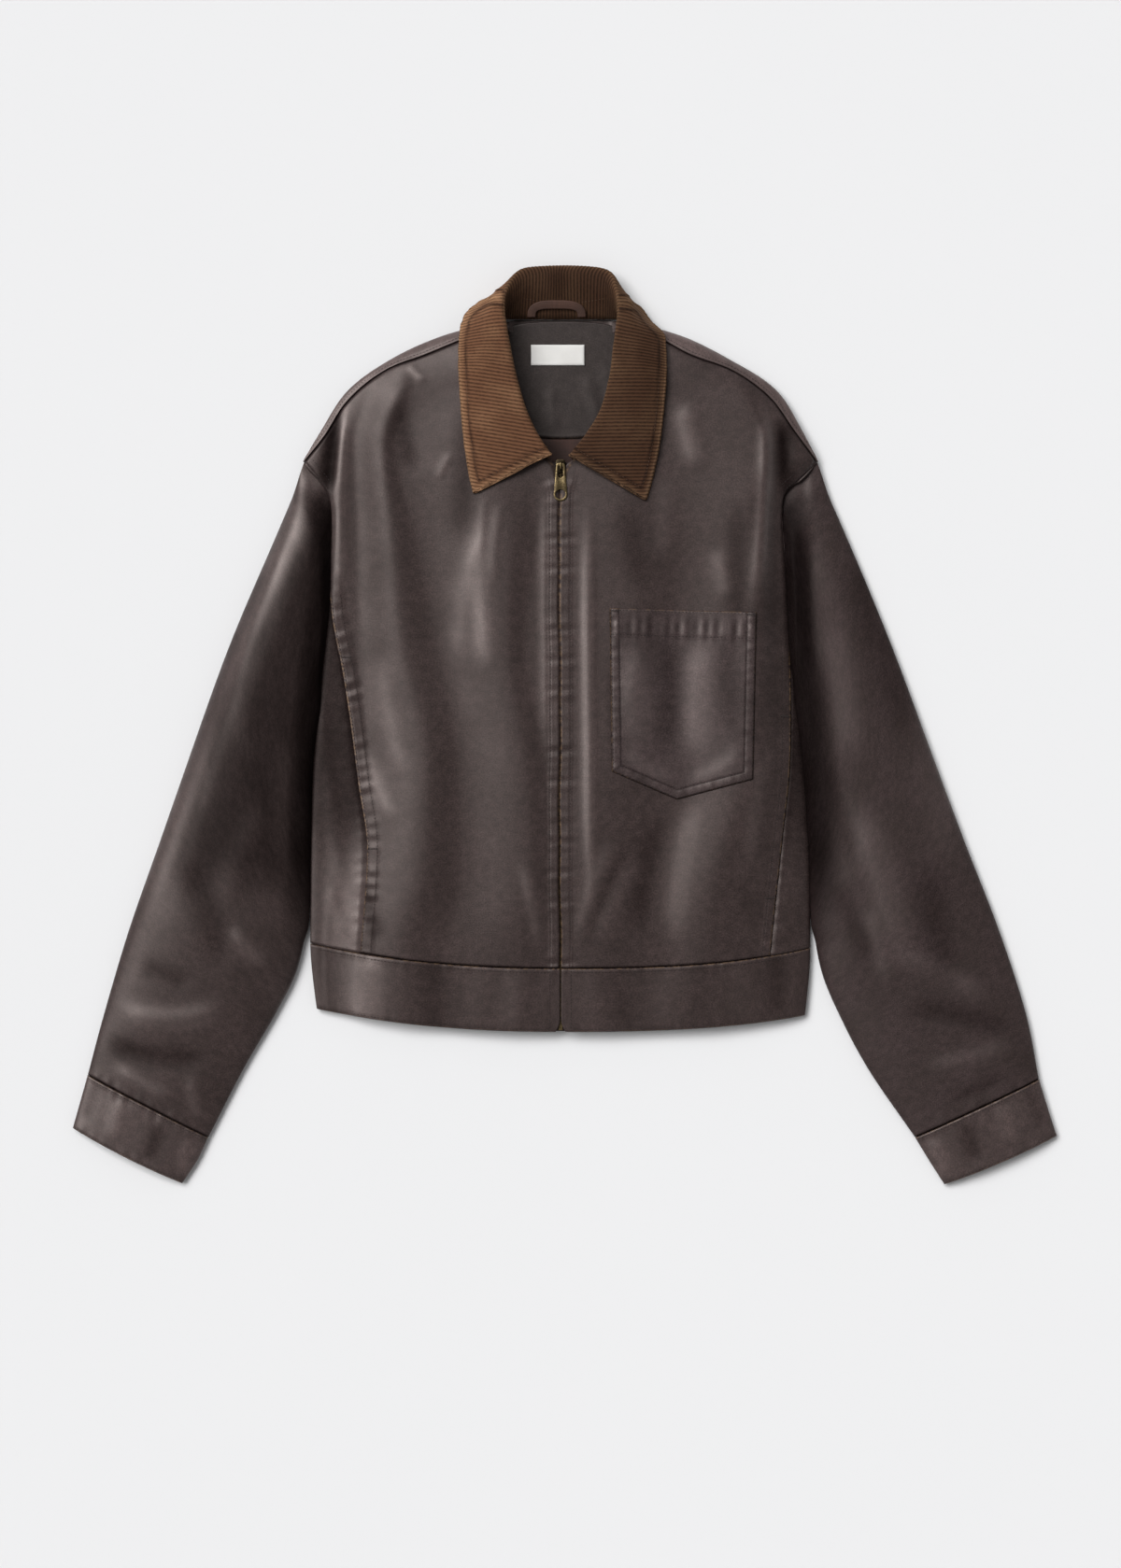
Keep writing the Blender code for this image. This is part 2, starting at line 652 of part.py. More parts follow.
def sleeve_points(rows, u, v, armhole=None, flat_inset=None):
    """Points on a flat tube: u goes round it, over the top from the outer fold and back underneath.

    With flat_inset, u crosses the underside alone, from that far inside the one fold to the other.
    """
    stops = np.linspace(0, 1, len(rows["height"]))
    cut = {name: spline(stops, column, v) for name, column in rows.items()}
    outer = np.stack([cut["outer_x"], cut["outer_y"]], -1)
    inner = np.stack([cut["inner_x"], cut["inner_y"]], -1)
    width = np.linalg.norm(inner - outer, axis=1)
    top = u < TOP_SHARE
    phi = np.where(top, u / TOP_SHARE, 0) * math.pi
    s = (1 - np.cos(phi)) / 2
    z = FLAT_RIM + (cut["height"] - FLAT_RIM) * np.sin(phi)
    under = np.clip((u - TOP_SHARE) / (1 - TOP_SHARE), 0, 1)
    turn = 0.22
    first = np.clip(under / turn, 0, 1) * math.pi / 2
    last = np.clip((1 - under) / turn, 0, 1) * math.pi / 2
    flat = np.clip((under - turn) / (1 - 2 * turn), 0, 1)
    radius = FLAT_RIM / width
    s_under = np.where(
        under < turn,
        1 - radius * (1 - np.cos(first)),
        np.where(under > 1 - turn, radius * (1 - np.cos(last)), 1 - radius - flat * (1 - 2 * radius)),
    )
    z_under = FLAT_RIM * (1 - np.minimum(np.sin(first), np.sin(last)))
    s = np.where(top, s, s_under)
    z = np.where(top, z, z_under)
    if flat_inset is not None:
        # The sections cross the folds at a slant, so the inset is measured square to each fold.
        start, stop = (
            flat_inset / square_width(rows, v, fold, (inner - outer) / width[:, None]) / width
            for fold in ("outer", "inner")
        )
        top = np.zeros(len(u), bool)
        s = start + u * (1 - start - stop)
        z = np.zeros(len(u))
    plan = outer + (inner - outer) * s[:, None]
    down = np.stack([inner[:, 1] - outer[:, 1], outer[:, 0] - inner[:, 0]], -1) / width[:, None]
    down *= -np.sign(down[:, 1:])
    plan += down * (cut["bow"] * 4 * s * (1 - s))[:, None]
    if armhole is not None:
        # The sleeve head follows the armhole's curve and height, then takes the sleeve's own shape.
        lead = smooth_step(1 - v / 0.42)
        hole = armhole(1 - s)
        straight = rows["outer_x"][0] + (rows["inner_x"][0] - rows["outer_x"][0]) * s
        plan[:, 0] += (hole[:, 0] - straight) * lead
        head = front_height(hole[:, 0], hole[:, 1])
        near = smooth_step(1 - v / 0.2)
        z = np.where(top, z + (head - z) * near, z * (1 + (head / FLAT_RIM - 1) * near))
    return np.column_stack([plan, z])


def sleeve(name, rows, side, armhole, root):
    """A sleeve in two layers: the top sleeve, which turns under at both folds, and the flat under sleeve."""
    line = between_heights(armhole, UNDERARM, armhole["y"][-1])
    hole, under_hole = moved(line, side * 1.0), moved(line, side * 1.6)
    columns = 15

    def over(u, v):
        # The first and the last column are the turns.
        start = -TURN_UNDER * (1 - TOP_SHARE)
        last = TOP_SHARE - start
        u = np.interp(u, [0, 1 / columns, 1 - 1 / columns, 1], [start, 0, TOP_SHARE, last])
        return sleeve_points(rows, u % 1.0, v, hole)

    def under(u, v):
        return sleeve_points(rows, u, v, under_hole, flat_inset=UNDER_INSET)

    flip = side < 0
    sheet(name, columns, 12, over, "coated cotton", root, flip=flip)
    sheet(f"under_{name}", 6, 12, under, "coated cotton", root, flip=not flip)


def cuff(name, rows, side, root):
    def place(u, v):
        return sleeve_points(rows, u, v)

    return sheet(name, 18, 2, place, "coated cotton", root, flip=side < 0, tube=True)


# ---------------------------------------------------------------- collar


def collar_points(u, v):
    """The collar's middle surface: v runs from the neck seam up the stand, over the crest and down."""
    stops = np.linspace(0, 1, len(COLLAR["roll"]))
    cut = {name: spline(stops, column, u) for name, column in COLLAR.items()}
    seam = np.stack([cut["seam_x"], cut["seam_y"], cut["seam_z"]], -1)
    crest = np.stack([cut["crest_x"], cut["crest_y"], cut["crest_z"]], -1)
    edge = np.stack([cut["edge_x"], cut["edge_y"], cut["edge_z"]], -1)
    ahead = crest - (seam + edge) / 2
    ahead /= np.linalg.norm(ahead, axis=1)[:, None]
    aside = seam - edge
    aside -= (ahead * aside).sum(1)[:, None] * ahead
    aside /= np.linalg.norm(aside, axis=1)[:, None]
    roll = cut["roll"][:, None]
    stand = crest + roll * aside - 1.3 * roll * ahead
    fall = crest - roll * aside - 1.3 * roll * ahead
    on_front = smooth_step((cut["edge_z"] - 8) / 12)
    swell = np.array([0, 0, 1.0]) * 0.6 * roll * on_front[:, None]
    middle = (fall + edge) / 2 + swell
    knots = np.array([0.0, 0.3, 0.42, 0.54, 0.76, 1.0])
    lines = np.stack([seam, stand, crest, fall, middle, edge])
    points = np.empty_like(seam)
    for axis in range(3):
        for i in range(len(u)):
            points[i, axis] = spline(knots, lines[:, i, axis], v[i])
    resting = front_height(points[:, 0], points[:, 1]) + SEAM_GAP + 0.2 + COLLAR_WALL / 2
    lies_on = smooth_step((v - 0.38) / 0.1) * on_front
    below = np.maximum(resting - points[:, 2], 0)
    points[:, 2] += below * lies_on
    return points


def collar(root):
    return sheet(
        "collar", 36, 8, collar_points, "brown corduroy", root, wall=COLLAR_WALL, offset=0.0, flip=True
    )


# ---------------------------------------------------------------- pieces sewn on


def chest_pocket(front_bm, root):
    """The front's own surface, cut to the pocket's outline and moved out."""
    bm = front_bm.copy()
    x, y = POCKET["x"], POCKET["y"]
    for k in range(len(x)):
        run = (x[k] - x[k - 1], y[k] - y[k - 1])
        bmesh.ops.bisect_plane(
            bm,
            geom=bm.verts[:] + bm.edges[:] + bm.faces[:],
            plane_co=(x[k] * MM, y[k] * MM, 0),
            plane_no=(-run[1], run[0], 0),
            clear_outer=True,
        )
    bm.normal_update()
    for vertex, normal in [(v, v.normal.copy()) for v in bm.verts]:
        vertex.co += normal * SEAM_GAP * MM
    return walled("chest_pocket", bm, "coated cotton", root, offset=1.0)


def facing(root):
    foot, top = path(FACING_FOOT), path(FACING_TOP)

    def place(u, v):
        plan = foot(u) * (1 - v[:, None]) + top(u) * v[:, None]
        return np.column_stack([plan, np.full(len(u), CLOTH + SEAM_GAP + LINING)])

    return sheet("neck_facing", 12, 2, place, "coated cotton", root, wall=LINING)


def back_lining(root):
    top = path(FACING_FOOT)

    def place(u, v):
        head = top(u)
        foot = np.stack([-200 + 400 * u, np.full_like(u, 90.0)], -1)
        head[:, 0] *= 2.05
        head[:, 1] = top(u)[:, 1] - SEAM_GAP - 0.1
        plan = foot * (1 - v[:, None]) + head * v[:, None]
        return np.column_stack([plan, np.full(len(u), CLOTH + SEAM_GAP + LINING)])

    return sheet("back_lining", 8, 2, place, "brown lining", root, wall=LINING)


def label(root):
    def place(u, v):
        x = LABEL["x"] + (u - 0.5) * LABEL["width"]
        y = LABEL["y"] + (v - 0.5) * LABEL["height"]
        return np.column_stack([x, y, np.full_like(x, LABEL["rise"] + LABEL["thickness"])])

    return sheet("neck_label", 4, 2, place, "label satin", root, wall=LABEL["thickness"])


def hanger_loop(root):
    """A strap sewn into the neck seam at both ends, lying up the inside of the stand."""
    middle = (LOOP["left"] + LOOP["right"]) / 2
    half = (LOOP["right"] - LOOP["left"]) / 2

    def place(u, v):
        angle = math.pi * (1 - u)
        power = 0.62
        cos, sin = np.cos(angle), np.sin(angle)
        across = np.sign(cos) * np.abs(cos) ** power
        up = np.maximum(sin, 0) ** power
        outward = np.stack([cos, sin], -1)
        centre = np.stack([middle + half * across, LOOP["foot"] + LOOP["reach"] * up], -1)
        plan = centre + outward * ((0.5 - v) * LOOP["width"])[:, None]
        plan[:, 1] = np.maximum(plan[:, 1], LOOP["foot"] - 0.5)
        rise = 5.3 + 0.3 * (plan[:, 1] - LOOP["foot"])
        return np.column_stack([plan, rise + LOOP["thickness"]])

    return sheet("hanger_loop", 16, 1, place, "brown lining", root, wall=LOOP["thickness"])


# ---------------------------------------------------------------- zip


def zip_tape(name, sign, root):
    def place(u, v):
        across = TAPE["inner"] + (u if sign > 0 else 1 - u) * (TAPE["outer"] - TAPE["inner"])
        y = TAPE["foot"] + v * (TAPE["top"] - TAPE["foot"])
        x = sign * across
        under = front_height(x, y) - CLOTH - SEAM_GAP - 0.1
        return np.column_stack([x, y, under])

    return sheet(name, 1, 20, place, "zip tape", root, wall=TAPE["thickness"])


def zip_chain(root):
    def place(u, v):
        x = (u - 0.5) * 2 * CHAIN["half_width"]
        y = CHAIN["foot"] + v * (CHAIN["top"] - CHAIN["foot"])
        return np.column_stack([x, y, front_height(0 * x, y) - CLOTH - SEAM_GAP])

    return sheet("zip_chain", 1, 20, place, "antique brass", root, wall=CHAIN["thickness"])


def zip_box(root):
    top = float(front_height(0.0, ZIP_BOX["foot"])) - CLOTH - SEAM_GAP
    half = TAPE["inner"] - SEAM_GAP
    bm = bmesh.new()
    span = (ZIP_BOX["foot"], ZIP_BOX["foot"] + ZIP_BOX["length"])
    box(bm, (-half, half), span, (top - ZIP_BOX["thickness"], top))
    edges = bm.edges[:]
    bmesh.ops.bevel(bm, geom=edges, offset=0.4 * MM, segments=1, affect="EDGES", profile=0.5, material=-1)
    return add_object("zip_box", bm, "antique brass", root, smooth=False)


def union(name, blocks, finish, root):
    """One solid from several overlapping boxes, each given as x, y and z ranges."""
    made = []
    for k, ranges in enumerate(blocks):
        bm = bmesh.new()
        box(bm, *ranges)
        made.append(add_object(name if k == 0 else f"{name}_block_{k}", bm, finish, root, smooth=False))
    for k, other in enumerate(made[1:]):
        join = made[0].modifiers.new(f"Join {k}", "BOOLEAN")
        join.operation = "UNION"
        join.object = other
        other.hide_render = True
        other.display_type = "WIRE"
        bpy.data.collections["Jacket"].objects.unlink(other)
        bpy.data.collections["Helpers"].objects.link(other)
    return made[0]


def slider_top():
    """Height of the slider's upper face."""
    return float(front_height(0.0, SLIDER["y"])) + 0.3


def zip_slider(root):
    top = slider_top()
    half, reach, plate = SLIDER["width"] / 2, SLIDER["length"] / 2, SLIDER["plate"]
    y = (SLIDER["y"] - reach, SLIDER["y"] + reach)
    low = top - plate - SLIDER["sink"]
    post = (CHAIN["top"] + 1.0, CHAIN["top"] + 1.0 + SLIDER["post"])
    bar, wide = BRIDGE["bar"], BRIDGE["width"] / 2
    peak = top + BRIDGE["clear"]
    blocks = (
        ((-half, half), y, (top - plate, top)),
        ((-half, half), y, (low, low + 1.2)),
        ((-1.2, 1.2), post, (low + 0.5, top - 0.5)),
        ((-wide, wide), (BRIDGE["foot"], BRIDGE["foot"] + bar), (top - 0.5, peak + 0.5)),
        ((-wide, wide), (BRIDGE["top"] - bar, BRIDGE["top"]), (top - 0.5, peak + 0.5)),
        ((-wide, wide), (BRIDGE["foot"], BRIDGE["top"]), (peak, peak + bar)),
    )
    return union("zip_slider", blocks, "antique brass", root)


def ring(radius, centre, start, stop, steps):
    """Points on an arc in plan, in degrees."""
    angles = np.radians(np.linspace(start, stop, steps))
    return [(centre[0] + radius * math.cos(a), centre[1] + radius * math.sin(a)) for a in angles]


def pull_tab(root):
    """The pull: an eye round the slider's bridge, a tapering shank and a finger ring."""
    pivot_z = slider_top() + BRIDGE["clear"] / 2
    hinge = bpy.data.objects.new("pull_hinge", None)
    bpy.data.collections["Jacket"].objects.link(hinge)
    hinge.parent = root
    hinge.location = (0, PULL["pivot_y"] * MM, pivot_z * MM)
    head = PULL["bar"] / 2
    ring_y = head + PULL["ring_radius"] - PULL["length"]
    half_eye = PULL["eye_width"] / 2
    outline = (
        ring(PULL["ring_radius"], (0, ring_y), 160, 380, 17)
        + ring(1.6, (half_eye - 1.6, head - 1.6), 0, 90, 4)
        + ring(1.6, (1.6 - half_eye, head - 1.6), 90, 180, 4)
    )
    hole = ring(PULL["ring_hole"], (0, ring_y), 0, 337.5, 16)
    radius = PULL["slot_width"] / 2
    slot_top = -head - radius
    slot_foot = -head - PULL["slot_length"] + radius
    slot = ring(radius, (0, slot_top), 0, 180, 6) + ring(radius, (0, slot_foot), 180, 360, 6)
    data = bpy.data.curves.new("pull_tab", "CURVE")
    data.dimensions = "2D"
    data.fill_mode = "BOTH"
    data.extrude = PULL["thickness"] / 2 * MM
    for points in (outline, hole, slot):
        line = data.splines.new("POLY")
        line.points.add(len(points) - 1)
        for knot, (x, y) in zip(line.points, points):
            knot.co = (x * MM, y * MM, 0, 1)
        line.use_cyclic_u = True
    data.materials.append(material("antique brass"))
    made = bpy.data.objects.new("pull_tab", data)
    bpy.data.collections["Jacket"].objects.link(made)
    made.parent = hinge
    return made


# ---------------------------------------------------------------- the whole jacket


def clear_scene():
    for old in list(bpy.data.objects):
        bpy.data.objects.remove(old)
    for name in ("Jacket", "Helpers"):
        bpy.context.scene.collection.children.link(bpy.data.collections.new(name))


def main():
    clear_scene()
    root = bpy.data.objects.new("jacket_root", None)
    bpy.data.collections["Jacket"].objects.link(root)
    root.location = [value * MM for value in ROOT_SHIFT]
    back(root)
    right_half = front_surface(-1, LEFT_POCKET_SEAM, LEFT_SIDE, LEFT_SHOULDER_SEAM)
    left_half = front_surface(1, RIGHT_POCKET_SEAM, RIGHT_SIDE, RIGHT_SHOULDER_SEAM)
    chest_pocket(left_half, root)
    walled("front_right", right_half, "coated cotton", root)
    walled("front_left", left_half, "coated cotton", root)
    side_panel("side_right", -1, LEFT_POCKET_SEAM, LEFT_SIDE, root)
    side_panel("side_left", 1, RIGHT_POCKET_SEAM, RIGHT_SIDE, root)
    hem_band(root)
    sleeve("sleeve_right", LEFT_SLEEVE, -1, LEFT_SIDE, root)
    sleeve("sleeve_left", RIGHT_SLEEVE, 1, RIGHT_SIDE, root)
    cuff("cuff_right", LEFT_CUFF, -1, root)
    cuff("cuff_left", RIGHT_CUFF, 1, root)
    collar(root)
    facing(root)
    back_lining(root)
    label(root)
    hanger_loop(root)
    zip_tape("zip_tape_right", -1, root)
    zip_tape("zip_tape_left", 1, root)
    zip_chain(root)
    zip_box(root)
    zip_slider(root)
    pull_tab(root)


main()
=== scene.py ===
# Zip jacket in coated cotton with a corduroy collar, laid flat on its back and closed to the neck.
# Sizes are in millimetres in the garment's own frame: x across from the zip, y up from the hem, z up from the
# floor. place() turns them into metres in the frame of the solids.
import math
import random

import bmesh
import bpy
import numpy as np
from mathutils import Matrix, Vector
from mathutils.bvhtree import BVHTree


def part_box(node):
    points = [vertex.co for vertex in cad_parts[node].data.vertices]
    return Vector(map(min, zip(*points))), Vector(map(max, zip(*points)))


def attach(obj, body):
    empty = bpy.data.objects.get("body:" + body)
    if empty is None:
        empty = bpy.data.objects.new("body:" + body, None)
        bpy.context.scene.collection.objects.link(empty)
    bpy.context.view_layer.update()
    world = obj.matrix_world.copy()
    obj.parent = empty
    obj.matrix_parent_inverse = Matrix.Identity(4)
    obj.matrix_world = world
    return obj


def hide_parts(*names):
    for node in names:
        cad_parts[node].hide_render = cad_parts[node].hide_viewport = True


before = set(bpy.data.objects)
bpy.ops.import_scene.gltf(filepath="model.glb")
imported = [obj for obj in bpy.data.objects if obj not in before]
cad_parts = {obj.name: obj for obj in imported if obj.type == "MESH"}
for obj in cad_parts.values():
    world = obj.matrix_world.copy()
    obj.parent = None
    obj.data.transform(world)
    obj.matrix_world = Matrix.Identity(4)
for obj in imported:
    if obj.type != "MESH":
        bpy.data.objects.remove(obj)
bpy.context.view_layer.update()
print("frame loaded:", len(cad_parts), "solids")

mm = 0.001
sliderLow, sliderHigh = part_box("zip_slider")
sliderY = 504.5  # height of the slider's middle on the garment
shiftX = (sliderLow.x + sliderHigh.x) / 2 / mm
shiftY = (sliderLow.y + sliderHigh.y) / 2 / mm - sliderY


def tableOf(columns, *rows):
    return dict(zip(columns.split(), np.array(rows, float).T))


def place(points):
    return (np.asarray(points, float) + (shiftX, shiftY, 0)) * mm


def smoothStep(t):
    t = np.clip(t, 0, 1)
    return t * t * (3 - 2 * t)


def slopesAt(stops, values):  # limited slopes, so a curve never swings past its rows
    span = np.diff(stops).reshape((-1,) + (1,) * (values.ndim - 1))
    rise = np.diff(values, axis=0) / span
    before, after = rise[:-1], rise[1:]
    mean = (before * span[1:] + after * span[:-1]) / (span[:-1] + span[1:])
    most = 2.5 * np.minimum(np.abs(before), np.abs(after))
    inner = np.where(before * after > 0, np.sign(mean) * np.minimum(np.abs(mean), most), 0)
    return np.concatenate([rise[:1], inner, rise[-1:]])


def spline(stops, values, at):
    # values has a row for each stop, and may have a column for each position
    stops, values = np.asarray(stops, float), np.asarray(values, float)
    slopes = slopesAt(stops, values)
    at = np.clip(at, stops[0], stops[-1])
    k = np.clip(np.searchsorted(stops, at) - 1, 0, len(stops) - 2)
    pick = (lambda a, i: a[i]) if values.ndim == 1 else (lambda a, i: a[i, np.arange(len(at))])
    span = stops[k + 1] - stops[k]
    t = (at - stops[k]) / span
    return (
        (2 * t**3 - 3 * t**2 + 1) * pick(values, k)
        + (t**3 - 2 * t**2 + t) * span * pick(slopes, k)
        + (3 * t**2 - 2 * t**3) * pick(values, k + 1)
        + (t**3 - t**2) * span * pick(slopes, k + 1)
    )


def path(rows):  # from 0..1 along a table's line to its points
    x, y = rows["x"], rows["y"]
    length = np.concatenate([[0], np.cumsum(np.hypot(np.diff(x), np.diff(y)))])

    def at(t):
        s = np.asarray(t, float) * length[-1]
        return np.stack([spline(length, x, s), spline(length, y, s)], -1)

    return at


def joined(first, second, share):
    def at(t):
        t = np.asarray(t, float)
        before = first(np.clip(t / share, 0, 1))
        after = second(np.clip((t - share) / (1 - share), 0, 1))
        return np.where((t <= share + 1e-6)[..., None], before, after)

    return at


def nearest(x, y, line):  # distance in plan to a run of points, and how far along it the nearest place is
    a, b = line[:-1], line[1:]
    run = b - a
    lengths = np.hypot(run[:, 0], run[:, 1])
    start = np.concatenate([[0], np.cumsum(lengths)[:-1]])
    best = np.full(np.shape(x), np.inf)
    along = np.zeros(np.shape(x))
    for k in range(len(a)):
        share = ((x - a[k, 0]) * run[k, 0] + (y - a[k, 1]) * run[k, 1]) / lengths[k] ** 2
        share = np.clip(share, 0, 1)
        d = np.hypot(x - a[k, 0] - share * run[k, 0], y - a[k, 1] - share * run[k, 1])
        closer = d < best
        best = np.where(closer, d, best)
        along = np.where(closer, start[k] + share * lengths[k], along)
    return best, along


def lineOf(rows, count=40):
    return path(rows)(np.linspace(0, 1, count))


def ripple(s, lengths, seed):  # an uneven wave along a seam, about -1..1, from a few wavelengths in mm
    draw = random.Random(seed)
    total = 0
    for length in lengths:
        total = total + np.sin(2 * math.pi * s / length + draw.uniform(0, 6.3)) * draw.uniform(0.6, 1)
    return total / (0.6 * len(lengths))


def creaseHeight(x, y, rows):
    # each crease runs from one end to the other with a sideways bow, and fades at both ends
    total = np.zeros(np.shape(x))
    for k in range(len(rows["height"])):
        c = {name: column[k] for name, column in rows.items()}
        dx, dy = c["toX"] - c["fromX"], c["toY"] - c["fromY"]
        length = math.hypot(dx, dy)
        t = ((x - c["fromX"]) * dx + (y - c["fromY"]) * dy) / length**2
        off = ((x - c["fromX"]) * dy - (y - c["fromY"]) * dx) / length
        off = off - c["bow"] * 4 * t * (1 - t)
        width = np.where(off < 0, c["left"], c["right"])
        ends = smoothStep(t / 0.35 + 0.3) * smoothStep((1 - t) / 0.35 + 0.3)
        total = total + c["height"] * np.exp(-((off / width) ** 2)) * ends
    return total


def seamRelief(distance, along, seam):
    # a turned edge that stands proud as far as its last stitching, the stitches' grooves, and
    # puckers across it
    d = np.maximum(distance, 0)
    last = max(seam["stitch"])
    relief = seam["raise"] * (1 - smoothStep((d - last - 0.4) / 1.6)) - 0.75 * np.clip(1 - d / 1.3, 0, 1) ** 2
    for row in seam["stitch"]:
        relief -= seam["groove"] * np.exp(-(((d - row) / 0.75) ** 2))
    reach = np.exp(-(((d - last * 0.55) / seam["reach"]) ** 2))
    slow = 0.6 + 0.4 * ripple(along, (61, 97), seam["seed"] + 1)
    bumps = ripple(along, seam["lengths"], seam["seed"]) * slow
    return relief + seam["pucker"] * bumps * reach


def hexColour(text):
    channels = [int(text[k : k + 2], 16) / 255 for k in (0, 2, 4)]
    return [c / 12.92 if c <= 0.04045 else ((c + 0.055) / 1.055) ** 2.4 for c in channels] + [1.0]


def newMaterial(name, **settings):
    made = bpy.data.materials.new(name)
    made.use_nodes = True
    shader = made.node_tree.nodes["Principled BSDF"]
    for socket, value in settings.items():
        shader.inputs[socket.replace("_", " ")].default_value = value
    return made, made.node_tree, shader


def addNode(tree, kind, settings=None, **links):
    # links: an input's name to a value or to another node's output socket
    node = tree.nodes.new(kind)
    for name, value in (settings or {}).items():
        setattr(node, name, value)
    for name, value in links.items():
        numbered = name[0] == "i" and name[1:].isdigit()
        socket = node.inputs[int(name[1:]) if numbered else name.replace("_", " ")]
        if isinstance(value, bpy.types.NodeSocket):
            tree.links.new(value, socket)
        else:
            socket.default_value = value
    return node


cottonLook = {
    "light": "3b302f",  # wax rubbed thin
    "dark": "2c2221",
    "bloom": "4a3f3a",  # dry wax bloom
    "worn": "82684f",  # bare tan thread along the edges
    "shine": "fff0ea",  # the wax's warm highlight
    "mottleSize": 45,  # mm
    "slubWidth": 0.8,  # mm; real threads are 0.4 mm, drawn this coarse so they show
    "slubLength": 6,
    "grainSize": 1.4,  # mm between the dry specks
    "grainShare": 0.3,  # how much lighter or darker they are
    "rubSize": 7,  # mm across the small rubbed patches
    "rubShare": 0.2,
    "paintedShadeKept": 0.24,  # how much of its colour the cloth keeps under the full painted shade
    "roughness": (0.38, 0.48),
    "weaveDepth": 0.07,  # mm
}


